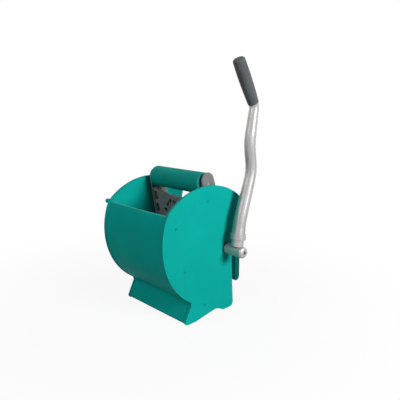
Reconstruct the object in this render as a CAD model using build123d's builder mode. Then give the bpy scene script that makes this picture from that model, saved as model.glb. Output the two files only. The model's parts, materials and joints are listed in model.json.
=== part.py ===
"""Roller mop wringer: a drum body between side plates, a swinging roller carrier and its hand lever."""
import os
from math import asin, atan2, cos, hypot, pi, radians, sin, sqrt, tau

from build123d import *

os.makedirs("parts", exist_ok=True)

# Ways to stand a shape on the place it is put at, or to hang it below
standing = (Align.CENTER, Align.CENTER, Align.MIN)
hanging = (Align.CENTER, Align.CENTER, Align.MAX)

# Lengths in millimetres, angles in degrees. X runs along the roller towards the lever, Y from the front
# foot to the rear, Z up. The origin is the middle of the foot's sole, on the floor.

# Body, across its width
body_width = 250.0
plate_thickness = 6.0
end_wall = 4.0
drum_wall = 4.0
plate_edge_round = 3.4

# Side outline, as (y, z): two arcs, the foot, the heel and the rear edge
front_center = (91.0, 219.0)
front_radius = 188.0
top_center = (55.0, 161.0)
top_radius = 191.5
crease_height = 56.0
toe_y = -30.0
sole_half = 9.0
notch_peak = (87.0, 13.0)
heel_start_y = 114.0
heel_end_y = 153.8
rear_waist = (144.0, 150.0)
rear_corner_y = 188.0
lip_round = 60.0
rear_corner_round = 26.0
rear_waist_round = 90.0
heel_round = 12.0
notch_round = 30.0
toe_round = 7.0
crease_round = 10.0
drum_inset = 1.5
sole_thickness = 4.5

# Cross shaft and its bearings
pivot = (124.0, 175.0)
shaft_radius = 10.0
bush_wall = 4.0
bush_lip = 2.0
bush_flange = 3.0
running_gap = 0.05
seat_gap = 0.05
overcut = 1.0
shaft_left_overhang = 9.0
washer_width = 6.0
washer_thickness = 1.7
washer_gap = 0.3
circlip_thickness = 1.5
circlip_depth = 1.0
circlip_rim = 3.5
circlip_mouth = 60.0

# Roller carrier: two arms, a web and a hub, leaning forward at rest
arm_length = 186.0
arm_lean = 16.87
arm_side_gap = 4.0
arm_thickness = 4.5
arm_pivot_radius = 20.5
arm_end_radius = 23.5
arm_waist = 150.0
arm_waist_radius = 23.0
arm_tip = 10.5
arm_tip_radius = 20.5
arm_knee_radius = 22.0
arm_knee = (10.0, 22.0)
web_inset = 2.5
web_thickness = 9.5
web_foot = 10.0
web_roller_gap = 3.9
web_dip = 14.0
hub_wall = 9.0
yoke_pin_radius = 3.0
yoke_pin_at = (20.0, 70.0)

# Holes in the carrier's web, placed by their drop below its top edge
side_slot = (12.0, 25.0)
side_slot_inset = 9.0
side_slot_drops = (21.5, 59.0)
slant_slot = (32.0, 9.0)
slant_slot_x = 40.85
slant_slot_drop = 22.5
slant_slot_angle = 44.5
inner_slot = (24.0, 9.0)
inner_slot_x = 12.75
inner_slot_drop = 21.5
small_hole = (12.0, 9.0)
small_hole_x = 59.5
small_hole_drop = 45.0

# Roller
roller_left_gap = 2.0
roller_right_gap = 8.5
roller_radius = 28.6
sleeve_wall = 8.6
core_wall = 4.0
roller_cap = 2.5
roller_cap_step = 1.0
roller_cap_spigot = 12.0
axle_radius = 5.0
axle_recess = 1.5
axle_spacer_wall = 15.0
axle_spacer_gap = 0.2
roller_bush_wall = 3.0
grub_radius = 1.3
grub_length = 10.0

# Stop bar and lower tie bar
stop_bar_radius = 7.0
stop_sleeve_wall = 2.0
stop_reach = 80.0
stop_gap = 0.3
tie_bar_at = (43.0, 37.5)
tie_bar_radius = 7.0

# Return spring
wire_radius = 1.75
coil_shaft_gap = 1.25
coil_length = 25.5
coil_turns = 5
coil_arm_gap = 6.5
coil_hub_gap = 4.0
spring_touch = 0.1
moving_leg = 46.0
fixed_leg_overrun = 12.0
lug_radius = 4.0
lug_at = 38.0
lug_length = 12.0

# Rear cover
cover_front_y = 174.0
cover_depth = 16.0
cover_wall = 4.0
cover_bottom = 64.0
cover_top = 262.0
cover_heel_round = 12.0
cover_toe_round = 3.0
cover_rib = 3.0
cover_rib_heights = (108.0, 166.0, 224.0)
cover_tab_front_y = 150.0
cover_tab_bottom = 205.0

# Screws through the side plates, as (y, z)
drum_screws = ((-55.0, 262.0), (-27.0, 145.0), (51.0, 314.5))
cover_screws = ((166.0, 250.0), (160.0, 215.0))
screw_shank = 2.2
screw_head = 3.4
bar_screw_shank = 3.0
bar_screw_head = 4.2
bar_screw_reach = 16.0
screw_head_height = 1.8
screw_head_round = 0.9
screw_slot = (0.9, 4.4, 1.0)

# Peg on the left plate
peg_at = (-74.0, 294.0)
peg_radius = 6.5
peg_length = 16.0
peg_round = 2.5
peg_spigot_radius = 3.0

# Hand lever
lever_offset = 35.0
hub_gap = 0.5
lever_hub_wall = 5.0
lever_hub_half = 18.0
hub_set_screw_radius = 4.0
hub_set_screw_inset = 14.0
neck_lip = 0.4
neck_start = 12.5
neck_end = 31.0
spigot_wall = 4.4
spigot_end = 62.0
collar_wall = 1.2
collar_end = 46.0
collar_groove = 0.8
collar_grooves = (35.0, 40.5)
collar_groove_width = 2.0
lever_corners = ((137.5, 258.0), (179.5, 384.0), (168.0, 455.0), (184.1, 548.4))
lever_bends = (250.0, 100.0, 130.0, 21.0)
lever_foot_radius = 19.5
lever_radii = (16.4, 14.9, 15.0, 12.8)
lever_bore = 9.0
grip_start = 8.0
grip_length = 122.0
grip_lean = 30.2
grip_wall = 1.5
grip_swell = 2.3
grip_swell_at = 64.0
grip_top_swell = 1.3
grip_foot_round = 1.0
grip_round = 6.0
grip_end_wall = 5.0
cap_lip = 0.5
cap_rim = 3.0
cap_height = 10.5
cap_flat = 9.0
cap_socket = 5.5
cap_socket_depth = 6.0
cap_shank = 5.0
cap_shank_length = 24.0

# Sizes that follow from what they fit
bush_radius = shaft_radius + bush_wall
bush_flange_radius = bush_radius + bush_lip
washer_radius = shaft_radius + washer_width
circlip_outer = shaft_radius + circlip_rim
hub_radius = shaft_radius + hub_wall
web_top_side = arm_length - roller_radius - web_roller_gap
web_top_middle = web_top_side - web_dip
roller_cap_radius = roller_radius - roller_cap_step
core_outer = roller_radius - sleeve_wall
core_inner = core_outer - core_wall
roller_bush_radius = axle_radius + roller_bush_wall
stop_sleeve_radius = stop_bar_radius + stop_sleeve_wall
coil_radius = shaft_radius + coil_shaft_gap + wire_radius
axle_spacer_radius = axle_radius + axle_spacer_wall
lever_hub_radius = shaft_radius + lever_hub_wall
neck_radius = lever_radii[0] + neck_lip
spigot_radius = lever_radii[0] - spigot_wall
collar_radius = lever_foot_radius + collar_wall
grip_radius = lever_radii[-1] + grip_wall
cap_radius = lever_hub_radius + cap_lip

# Places that follow from the sizes
plate_x = body_width / 2
plate_inner_x = plate_x - plate_thickness
wall_inner_x = plate_inner_x - end_wall
right_arm_outer_x = wall_inner_x - arm_side_gap
right_arm_inner_x = right_arm_outer_x - arm_thickness
roller_half = right_arm_inner_x - roller_right_gap
left_arm_inner_x = -roller_half - roller_left_gap
left_arm_outer_x = left_arm_inner_x - arm_thickness
web_middle_x = (left_arm_inner_x + right_arm_inner_x) / 2
lever_x = plate_x + lever_offset
lever_hub_start = plate_x + bush_flange + hub_gap
lever_hub_end = lever_x + lever_hub_half
lean_sin = sin(radians(arm_lean))
lean_cos = cos(radians(arm_lean))
knee_far = hypot(arm_length - arm_knee[0], arm_knee[1])
edge_taper = asin((arm_end_radius - arm_knee_radius) / knee_far)
edge_turn = atan2(arm_knee[1], arm_length - arm_knee[0]) - edge_taper
edge_out = arm_knee_radius + arm_knee[0] * sin(edge_turn) + arm_knee[1] * cos(edge_turn)
web_lean = radians(arm_lean) - edge_turn
web_front = edge_out - web_inset
spring_arm_x = left_arm_inner_x + coil_arm_gap
spring_hub_x = spring_arm_x + coil_length
hub_left_x = spring_hub_x + coil_hub_gap


def circle_height(center, radius, y):
    """Return the height of a circle's upper half at y."""
    return center[1] + sqrt(radius**2 - (y - center[0]) ** 2)


def circles_meet(a, a_radius, b, b_radius):
    """Return the meeting point of two circles that lies to the front, as (y, z)."""
    across, rise = b[0] - a[0], b[1] - a[1]
    apart = hypot(across, rise)
    along = (a_radius**2 - b_radius**2 + apart**2) / (2 * apart)
    side = sqrt(a_radius**2 - along**2)
    return (
        a[0] + (along * across - side * rise) / apart,
        a[1] + (along * rise + side * across) / apart,
    )


def circle_toward(center, radius, point):
    """Return the point of a circle on the ray from its center through a point."""
    across, rise = point[0] - center[0], point[1] - center[1]
    scale = radius / hypot(across, rise)
    return (center[0] + across * scale, center[1] + rise * scale)


def arc_middle(center, radius, start, end):
    """Return the middle point of the shorter arc from start to end."""
    return circle_toward(center, radius, ((start[0] + end[0]) / 2, (start[1] + end[1]) / 2))


def carrier(along, forward):
    """Return the (y, z) of a point on the carrier, from its pivot along the arms and forward of them."""
    return (
        pivot[0] - along * lean_sin - forward * lean_cos,
        pivot[1] + along * lean_cos - forward * lean_sin,
    )


def rod(center, x_from, x_to, radius, mode=Mode.ADD):
    """Make a cylinder along X at (y, z) between two values of X."""
    with Locations(Plane(origin=(x_from, *center), z_dir=(1, 0, 0))):
        Cylinder(radius, x_to - x_from, align=standing, mode=mode)


def ring(center, x_from, x_to, outer, inner):
    """Make a tube along X at (y, z) between two values of X."""
    rod(center, x_from, x_to, outer)
    rod(center, x_from, x_to, inner, Mode.SUBTRACT)


def save(builder, name):
    """Label a finished node and write its file."""
    builder.part.label = name
    export_step(builder.part, f"parts/{name}.step")


# Side outline, shared by the plates, the end walls and the drum wall
lip_center = circles_meet(top_center, top_radius - lip_round, front_center, front_radius - lip_round)
lip_front = circle_toward(front_center, front_radius, lip_center)
lip_top = circle_toward(top_center, top_radius, lip_center)
lip = arc_middle(lip_center, lip_round, lip_front, lip_top)
crease_y = front_center[0] - sqrt(front_radius**2 - (front_center[1] - crease_height) ** 2)
crease = (crease_y, crease_height)
toe = (toe_y, 0.0)
heel = (heel_end_y, 0.0)
rear_corner = (rear_corner_y, circle_height(top_center, top_radius, rear_corner_y))
corner_rounds = (
    (rear_corner, rear_corner_round),
    (rear_waist, rear_waist_round),
    (heel, heel_round),
    (notch_peak, notch_round),
    (toe, toe_round),
    (crease, crease_round),
)
with BuildSketch() as outline:
    with BuildLine():
        ThreePointArc(crease, arc_middle(front_center, front_radius, crease, lip_front), lip_front)
        ThreePointArc(lip_front, lip, lip_top)
        ThreePointArc(lip_top, arc_middle(top_center, top_radius, lip_top, rear_corner), rear_corner)
        Polyline(
            rear_corner, rear_waist, heel, (heel_start_y, 0), notch_peak, (sole_half, 0), toe, crease
        )
    make_face()
    for corner, corner_round in corner_rounds:
        fillet(outline.vertices().sort_by_distance(corner)[0], corner_round)

# Drum outline and, within it, the wall section that runs from the lip down to the sole
with BuildSketch() as drum_outline:
    add(outline.sketch)
    offset(amount=-drum_inset)
    with Locations((-sole_half, 0)):
        Rectangle(2 * sole_half, sole_thickness, align=(Align.MIN, Align.MIN))

lip_ray = (2 * lip[0] - front_center[0], 2 * lip[1] - front_center[1])
front_y = front_center[0] - 2 * front_radius
with BuildSketch() as drum_hollow:
    add(outline.sketch)
    offset(amount=-drum_inset - drum_wall)
    with BuildSketch(mode=Mode.ADD):
        add(outline.sketch)
        offset(amount=-drum_inset)
        with BuildLine():
            Polyline(
                (sole_half, 0), (sole_half, crease_height), front_center, lip_ray, (front_y, lip_ray[1]),
                (front_y, 0), close=True,
            )
        make_face(mode=Mode.SUBTRACT)

# Stop bar: behind the arms at rest, square to their rear edge
taper_sin = (arm_pivot_radius - arm_end_radius) / arm_length
taper_cos = sqrt(1 - taper_sin**2)
stop_out = arm_pivot_radius + stop_gap + stop_sleeve_radius
stop_at = carrier(
    stop_out * taper_sin + stop_reach * taper_cos, stop_reach * taper_sin - stop_out * taper_cos
)

wall_screws = drum_screws + cover_screws
bar_screws = (tie_bar_at, stop_at)


def plate_holes():
    """Cut the bearing and screw holes through a side plate or end wall, in the sketch at hand."""
    with Locations(pivot):
        Circle(bush_radius + seat_gap, mode=Mode.SUBTRACT)
    with Locations(wall_screws):
        Circle(screw_shank + seat_gap, mode=Mode.SUBTRACT)
    with Locations(bar_screws):
        Circle(bar_screw_shank + seat_gap, mode=Mode.SUBTRACT)


with BuildPart() as drum_body:
    with BuildSketch(Plane.YZ.offset(-wall_inner_x)):
        add(drum_outline.sketch)
        add(drum_hollow.sketch, mode=Mode.SUBTRACT)
    extrude(amount=2 * wall_inner_x)
save(drum_body, "drum_body")

for end_name, end_x in (("right_end_wall", wall_inner_x), ("left_end_wall", -plate_inner_x)):
    with BuildPart() as end_panel:
        with BuildSketch(Plane.YZ.offset(end_x)):
            add(drum_outline.sketch)
            plate_holes()
        extrude(amount=end_wall)
    save(end_panel, end_name)

with BuildPart() as right_side_plate:
    with BuildSketch(Plane.YZ.offset(plate_inner_x)):
        add(outline.sketch)
    extrude(amount=plate_thickness)
    fillet(right_side_plate.faces().sort_by(Axis.X)[-1].outer_wire().edges(), plate_edge_round)
    with BuildSketch(Plane.YZ.offset(plate_inner_x)):
        add(outline.sketch)
        plate_holes()
    extrude(amount=plate_thickness, mode=Mode.INTERSECT)
save(right_side_plate, "right_side_plate")

with BuildPart() as left_side_plate:
    with BuildSketch(Plane.YZ.offset(-plate_x)):
        add(outline.sketch)
    extrude(amount=plate_thickness)
    fillet(left_side_plate.faces().sort_by(Axis.X)[0].outer_wire().edges(), plate_edge_round)
    with BuildSketch(Plane.YZ.offset(-plate_x)):
        add(outline.sketch)
        plate_holes()
        with Locations(peg_at):
            Circle(peg_spigot_radius + seat_gap, mode=Mode.SUBTRACT)
    extrude(amount=plate_thickness, mode=Mode.INTERSECT)
save(left_side_plate, "left_side_plate")

with BuildPart() as left_peg:
    rod(peg_at, -plate_x - peg_length, -plate_x, peg_radius)
    fillet(left_peg.faces().sort_by(Axis.X)[0].edges(), peg_round)
    rod(peg_at, -plate_x, -plate_inner_x, peg_spigot_radius)
save(left_peg, "left_peg")

cover_heel = (cover_front_y + cover_depth, cover_bottom)
cover_toe = (cover_front_y, cover_bottom)
with BuildSketch() as cover_side:
    with Locations(cover_toe):
        Rectangle(cover_depth, cover_top - cover_bottom, align=(Align.MIN, Align.MIN))
    fillet(cover_side.vertices().sort_by_distance(cover_heel)[0], cover_heel_round)
    fillet(cover_side.vertices().sort_by_distance(cover_toe)[0], cover_toe_round)

with BuildPart() as rear_cover:
    with BuildSketch(Plane.YZ.offset(-wall_inner_x)):
        add(cover_side.sketch)
    extrude(amount=2 * wall_inner_x)
    bay_floors = (cover_bottom + cover_wall, *(height + cover_rib for height in cover_rib_heights))
    bay_roofs = (*cover_rib_heights, cover_top - cover_wall)
    for bay_floor, bay_roof in zip(bay_floors, bay_roofs):
        with Locations((0, cover_front_y + cover_wall, bay_floor)):
            Box(
                2 * (wall_inner_x - cover_wall), cover_depth, bay_roof - bay_floor,
                align=(Align.CENTER, Align.MIN, Align.MIN), mode=Mode.SUBTRACT,
            )
    for tab_x in (-wall_inner_x, wall_inner_x - cover_wall):
        with BuildSketch(Plane.YZ.offset(tab_x)):
            with Locations((cover_tab_front_y, cover_tab_bottom)):
                Rectangle(
                    cover_front_y + cover_wall - cover_tab_front_y, cover_top - cover_tab_bottom,
                    align=(Align.MIN, Align.MIN),
                )
            with Locations(cover_screws):
                Circle(screw_shank + seat_gap, mode=Mode.SUBTRACT)
        extrude(amount=cover_wall)
save(rear_cover, "rear_cover")


def screw_set(side):
    """Make the screws of one side plate, +1 right and -1 left, heads outward."""
    thin = [(at, screw_shank, screw_head, plate_thickness + end_wall) for at in drum_screws]
    thin += [(at, screw_shank, screw_head, plate_thickness + end_wall + cover_wall) for at in cover_screws]
    stout = [(at, bar_screw_shank, bar_screw_head, bar_screw_reach) for at in bar_screws]
    for at, shank, head, reach in thin + stout:
        with Locations(Plane(origin=(side * plate_x, *at), x_dir=(0, 1, 0), z_dir=(side, 0, 0))):
            Cylinder(head, screw_head_height, align=standing)
            Cylinder(shank, reach, align=hanging)


def screw_slots(side):
    """Cut a cross recess into each screw head of one side plate."""
    width, length, depth = screw_slot
    for at in wall_screws + bar_screws:
        top = (side * (plate_x + screw_head_height), *at)
        with Locations(Plane(origin=top, x_dir=(0, 1, 0), z_dir=(side, 0, 0))):
            for size in ((width, length), (length, width)):
                Box(*size, depth, align=hanging, mode=Mode.SUBTRACT)


with BuildPart() as right_plate_screws:
    screw_set(1)
    head_x = plate_x + screw_head_height
    fillet(right_plate_screws.faces().filter_by_position(Axis.X, head_x, head_x).edges(), screw_head_round)
    screw_slots(1)
save(right_plate_screws, "right_plate_screws")

with BuildPart() as left_plate_screws:
    screw_set(-1)
    fillet(left_plate_screws.faces().filter_by_position(Axis.X, -head_x, -head_x).edges(), screw_head_round)
    screw_slots(-1)
save(left_plate_screws, "left_plate_screws")

bar_hole_depth = bar_screw_reach - plate_thickness - end_wall + overcut
for bar_name, bar_at, bar_radius in (
    ("lower_tie_bar", tie_bar_at, tie_bar_radius),
    ("stop_bar", stop_at, stop_bar_radius),
):
    with BuildPart() as tie_bar:
        rod(bar_at, -wall_inner_x, wall_inner_x, bar_radius)
        rod(bar_at, -wall_inner_x, bar_hole_depth - wall_inner_x, bar_screw_shank + seat_gap, Mode.SUBTRACT)
        rod(bar_at, wall_inner_x - bar_hole_depth, wall_inner_x, bar_screw_shank + seat_gap, Mode.SUBTRACT)
    save(tie_bar, bar_name)

with BuildPart() as stop_sleeves:
    for sleeve_x in (-right_arm_outer_x, -left_arm_inner_x):
        sleeve_end_x = sleeve_x + right_arm_outer_x + left_arm_inner_x
        ring(stop_at, sleeve_x, sleeve_end_x, stop_sleeve_radius, stop_bar_radius + seat_gap)
save(stop_sleeves, "stop_sleeves")

with BuildPart() as right_shaft_bush:
    rod(pivot, wall_inner_x, plate_x, bush_radius)
    rod(pivot, plate_x, plate_x + bush_flange, bush_flange_radius)
    rod(pivot, wall_inner_x, plate_x + bush_flange, shaft_radius + running_gap, Mode.SUBTRACT)
save(right_shaft_bush, "right_shaft_bush")

with BuildPart() as left_shaft_bush:
    rod(pivot, -plate_x, -wall_inner_x, bush_radius)
    rod(pivot, -plate_x - bush_flange, -plate_x, bush_flange_radius)
    rod(pivot, -plate_x - bush_flange, -wall_inner_x, shaft_radius + running_gap, Mode.SUBTRACT)
save(left_shaft_bush, "left_shaft_bush")

# Cross shaft with its left retainer, and the pins that hold the carrier on it
shaft_left_x = -plate_x - shaft_left_overhang
washer_x = -plate_x - bush_flange - washer_gap
circlip_x = washer_x - washer_thickness
carrier_plane = Plane(
    origin=(0, *pivot), x_dir=(1, 0, 0), z_dir=(0, -lean_cos, -lean_sin)
)


def yoke_pin_places():
    """Return where the carrier's cross pins stand, facing forward through the shaft."""
    return [carrier_plane.location * Location((x, 0, -hub_radius)) for x in yoke_pin_at]


yoke_pin_length = 2 * hub_radius
with BuildPart() as cross_shaft:
    rod(pivot, shaft_left_x, lever_hub_end, shaft_radius)
    rod(pivot, lever_hub_end - cap_shank_length - overcut, lever_hub_end, cap_shank + seat_gap, Mode.SUBTRACT)
    with Locations(Plane(origin=(circlip_x - circlip_thickness - seat_gap, *pivot), z_dir=(1, 0, 0))):
        groove_length = circlip_thickness + 2 * seat_gap
        Cylinder(shaft_radius + overcut, groove_length, align=standing, mode=Mode.SUBTRACT)
        Cylinder(shaft_radius - circlip_depth, groove_length, align=standing)
    with Locations(yoke_pin_places()):
        Cylinder(yoke_pin_radius + seat_gap, yoke_pin_length, align=standing, mode=Mode.SUBTRACT)
save(cross_shaft, "cross_shaft")

with BuildPart() as shaft_washer:
    ring(pivot, circlip_x, washer_x, washer_radius, shaft_radius + seat_gap)
save(shaft_washer, "shaft_washer")

with BuildPart() as shaft_circlip:
    with BuildSketch(Plane.YZ.offset(circlip_x - circlip_thickness)):
        with Locations(pivot):
            Circle(circlip_outer)
            Circle(shaft_radius - circlip_depth + seat_gap, mode=Mode.SUBTRACT)
        with BuildLine():
            mouth_half = 2 * circlip_outer * sin(radians(circlip_mouth / 2))
            mouth_low = pivot[1] - 2 * circlip_outer * cos(radians(circlip_mouth / 2))
            Polyline(
                pivot, (pivot[0] - mouth_half, mouth_low), (pivot[0] + mouth_half, mouth_low), close=True
            )
        make_face(mode=Mode.SUBTRACT)
    extrude(amount=circlip_thickness)
save(shaft_circlip, "shaft_circlip")

# Roller carrier
axle_at = carrier(arm_length, 0)
lug_forward = coil_radius - wire_radius - spring_touch - lug_radius
grub_plane = Plane(origin=(0, *axle_at), x_dir=(1, 0, 0), z_dir=(0, -lean_sin, lean_cos))
grub_x = (left_arm_inner_x - arm_thickness / 2, right_arm_inner_x + arm_thickness / 2)
web_plane = Plane(
    origin=(0, *pivot), x_dir=(1, 0, 0), z_dir=(0, -cos(web_lean), -sin(web_lean))
)


def grub_places(height):
    """Return where the axle's grub screws stand in the arms, at a height above the axle's middle."""
    return [grub_plane.location * Location((x, 0, height)) for x in grub_x]


# The right arm's end stands beyond the roller, the left one's stays behind it
arm_ends = {
    left_arm_outer_x: {arm_length: arm_end_radius},
    right_arm_inner_x: {arm_waist: arm_waist_radius, arm_length + arm_tip: arm_tip_radius},
}

with BuildPart() as roller_yoke:
    for arm_x, ends in arm_ends.items():
        arm_plane = Plane(origin=(arm_x, *pivot), x_dir=(0, -lean_sin, lean_cos), z_dir=(1, 0, 0))
        with BuildSketch(arm_plane):
            Circle(arm_pivot_radius)
            with Locations(arm_knee):
                Circle(arm_knee_radius)
            for along, end_radius in ends.items():
                with Locations((along, 0)):
                    Circle(end_radius)
            make_hull()
        extrude(amount=arm_thickness)
    rod(pivot, hub_left_x, right_arm_inner_x, hub_radius)
    with BuildSketch(web_plane.offset(web_front)):
        with BuildLine():
            web_left = (left_arm_inner_x, web_top_side)
            web_right = (right_arm_inner_x, web_top_side)
            ThreePointArc(web_left, (web_middle_x, web_top_middle), web_right)
            Polyline(
                web_right, (right_arm_inner_x, web_foot), (left_arm_inner_x, web_foot), web_left,
            )
        make_face()
        for side, arm_x in ((-1, left_arm_inner_x), (1, right_arm_inner_x)):
            slot_x = arm_x - side * side_slot_inset
            with Locations([(slot_x, web_top_side - drop) for drop in side_slot_drops]):
                Rectangle(*side_slot, mode=Mode.SUBTRACT)
            with Locations((web_middle_x + side * slant_slot_x, web_top_middle - slant_slot_drop)):
                SlotOverall(*slant_slot, rotation=-side * slant_slot_angle, mode=Mode.SUBTRACT)
            with Locations((web_middle_x + side * inner_slot_x, web_top_middle - inner_slot_drop)):
                SlotOverall(*inner_slot, rotation=side * slant_slot_angle, mode=Mode.SUBTRACT)
            with Locations((web_middle_x + side * small_hole_x, web_top_middle - small_hole_drop)):
                Rectangle(*small_hole, mode=Mode.SUBTRACT)
    extrude(amount=-web_thickness)
    rod(carrier(lug_at, lug_forward), left_arm_inner_x, left_arm_inner_x + lug_length, lug_radius)
    rod(pivot, left_arm_outer_x, right_arm_outer_x, shaft_radius + seat_gap, Mode.SUBTRACT)
    rod(axle_at, left_arm_outer_x, right_arm_outer_x, axle_radius + seat_gap, Mode.SUBTRACT)
    with Locations(yoke_pin_places()):
        Cylinder(
            yoke_pin_radius + seat_gap, yoke_pin_length, align=standing,
            mode=Mode.SUBTRACT,
        )
    with Locations(grub_places(0)):
        Cylinder(
            grub_radius + seat_gap, arm_tip + arm_tip_radius + overcut, align=standing,
            mode=Mode.SUBTRACT,
        )
save(roller_yoke, "roller_yoke")

with BuildPart() as yoke_pins:
    with Locations(yoke_pin_places()):
        Cylinder(yoke_pin_radius, yoke_pin_length, align=standing)
save(yoke_pins, "yoke_pins")

with BuildPart() as axle_grub_screws:
    with Locations(grub_places(axle_radius)):
        Cylinder(grub_radius, grub_length, align=standing)
save(axle_grub_screws, "axle_grub_screws")

with BuildPart() as roller_axle:
    rod(axle_at, left_arm_outer_x + axle_recess, right_arm_outer_x - axle_recess, axle_radius)
save(roller_axle, "roller_axle")

with BuildPart() as axle_spacer:
    spacer_x = roller_half + axle_spacer_gap
    ring(axle_at, spacer_x, right_arm_inner_x, axle_spacer_radius, axle_radius + seat_gap)
save(axle_spacer, "axle_spacer")

# Roller, built about its own axle
sleeve_half = roller_half - roller_cap
with BuildPart() as roller_sleeve:
    ring(axle_at, -sleeve_half, sleeve_half, roller_radius, core_outer + seat_gap)
save(roller_sleeve, "roller_sleeve")

with BuildPart() as roller_core:
    ring(axle_at, -sleeve_half, sleeve_half, core_outer, core_inner)
save(roller_core, "roller_core")

for cap_name, cap_side in (("roller_right_cap", 1), ("roller_left_cap", -1)):
    with BuildPart() as roller_end:
        spigot = sorted((cap_side * (sleeve_half - roller_cap_spigot), cap_side * sleeve_half))
        flange = sorted((cap_side * sleeve_half, cap_side * roller_half))
        rod(axle_at, *spigot, core_inner - seat_gap)
        rod(axle_at, *flange, roller_cap_radius)
        rod(axle_at, min(spigot + flange), max(spigot + flange), roller_bush_radius + seat_gap, Mode.SUBTRACT)
    save(roller_end, cap_name)

with BuildPart() as roller_bushes:
    for bush_side in (-1, 1):
        bush_ends = sorted((bush_side * (sleeve_half - roller_cap_spigot), bush_side * roller_half))
        ring(axle_at, *bush_ends, roller_bush_radius, axle_radius + running_gap)
save(roller_bushes, "roller_bushes")

# Return spring: the fixed leg lies behind the stop bar, the moving leg in front of the carrier's lug
stop_y, stop_z = stop_at[0] - pivot[0], stop_at[1] - pivot[1]
stop_far = hypot(stop_y, stop_z)
leg_out = stop_bar_radius + wire_radius + spring_touch
leg_turn = asin((coil_radius - leg_out) / stop_far)
coil_start = atan2(stop_z, stop_y) - pi / 2 + leg_turn
coil_sweep = coil_start - (radians(arm_lean) - pi) + tau * coil_turns
coil_slope = (spring_arm_x - spring_hub_x) / (coil_radius * coil_sweep)
fixed_leg = stop_far * cos(leg_turn) + fixed_leg_overrun


def coil_point(share):
    """Return the point of the spring's coil at a share of its sweep."""
    turn = coil_start - coil_sweep * share
    x = spring_hub_x + (spring_arm_x - spring_hub_x) * share
    return Vector(x, pivot[0] + coil_radius * cos(turn), pivot[1] + coil_radius * sin(turn))


def coil_direction(share):
    """Return the way the wire runs at a share of the coil's sweep."""
    turn = coil_start - coil_sweep * share
    return Vector(coil_slope, sin(turn), -cos(turn)).normalized()


def biarc_middle(start, start_way, end, end_way):
    """Return where two smooth arcs from start to end meet, and the way they run there."""
    chord = end - start
    both = start_way + end_way
    spread = 2 * (1 - start_way.dot(end_way))
    reach = (sqrt(chord.dot(both) ** 2 + spread * chord.dot(chord)) - chord.dot(both)) / spread
    middle_way = chord - both * reach
    return (start + end) * 0.5 + (start_way - end_way) * (reach / 2), middle_way.normalized()


coil_steps = round(coil_sweep / (pi / 2))
shares = [step / coil_steps for step in range(coil_steps + 1)]
leg_end = coil_point(0) - coil_direction(0) * fixed_leg
with BuildPart() as return_spring:
    with BuildLine() as wire_path:
        Line(leg_end, coil_point(0))
        for share, next_share in zip(shares, shares[1:]):
            start, end = coil_point(share), coil_point(next_share)
            start_way, end_way = coil_direction(share), coil_direction(next_share)
            middle, middle_way = biarc_middle(start, start_way, end, end_way)
            TangentArc(start, middle, tangent=start_way)
            TangentArc(middle, end, tangent=middle_way)
        Line(coil_point(1), coil_point(1) + coil_direction(1) * moving_leg)
    with BuildSketch(Plane(origin=leg_end, z_dir=coil_direction(0))):
        Circle(wire_radius)
    sweep()
save(return_spring, "return_spring")

sample_count = 600
samples = [coil_point(step / sample_count) for step in range(sample_count)]
half_turn = round(sample_count * pi / coil_sweep)
coil_gap = min(
    (samples[i] - samples[j]).length for i in range(sample_count) for j in range(i + half_turn, sample_count)
) - 2 * wire_radius
print(f"return_spring least gap to itself {coil_gap:.2f} mm")

# Hand lever: centreline in the plane X = lever_x, from the shaft up to the end of the grip
grip_way = (-sin(radians(grip_lean)), cos(radians(grip_lean)))
last_corner = lever_corners[-1]
tube_reach = grip_start + grip_length - grip_end_wall
lever_top = (last_corner[0] + tube_reach * grip_way[0], last_corner[1] + tube_reach * grip_way[1])
first_run = hypot(lever_corners[0][0] - pivot[0], lever_corners[0][1] - pivot[1])
foot_way = ((lever_corners[0][0] - pivot[0]) / first_run, (lever_corners[0][1] - pivot[1]) / first_run)
lever_foot = (pivot[0] + neck_end * foot_way[0], pivot[1] + neck_end * foot_way[1])
lever_plane = Plane.YZ.offset(lever_x)
foot_plane = Plane(origin=(lever_x, *pivot), x_dir=(1, 0, 0), z_dir=(0, *foot_way))
grip_plane = Plane(origin=(lever_x, *last_corner), x_dir=(1, 0, 0), z_dir=(0, *grip_way))

with BuildLine(lever_plane) as lever_line:
    FilletPolyline(lever_foot, *lever_corners, lever_top, radius=lever_bends)
lever_wire = Wire(lever_line.line.edges())
lever_edges = lever_wire.order_edges()

# The tube has one radius at its foot and one at each bend, and tapers along the straights between them
tube_radii = (lever_foot_radius, *lever_radii)
with BuildPart() as lever_tube:
    for place, edge in enumerate(lever_edges):
        bend = place // 2
        after = tube_radii[min(bend + 1, len(lever_radii))]
        before = tube_radii[bend] if edge.geom_type == GeomType.LINE else after
        with BuildSketch(Plane(origin=edge @ 0, z_dir=edge % 0)):
            Circle(before)
        if edge.geom_type == GeomType.LINE and before != after:
            with BuildSketch(Plane(origin=edge @ 1, z_dir=edge % 1)):
                Circle(after)
            loft()
        else:
            sweep(path=edge)
    with BuildSketch(Plane(origin=lever_edges[0] @ 0, z_dir=lever_edges[0] % 0)):
        Circle(lever_bore)
    sweep(path=lever_wire, mode=Mode.SUBTRACT)
    with Locations(foot_plane):
        Cylinder(
            spigot_radius + seat_gap, spigot_end + overcut, align=standing,
            mode=Mode.SUBTRACT,
        )
save(lever_tube, "lever_tube")

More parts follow.
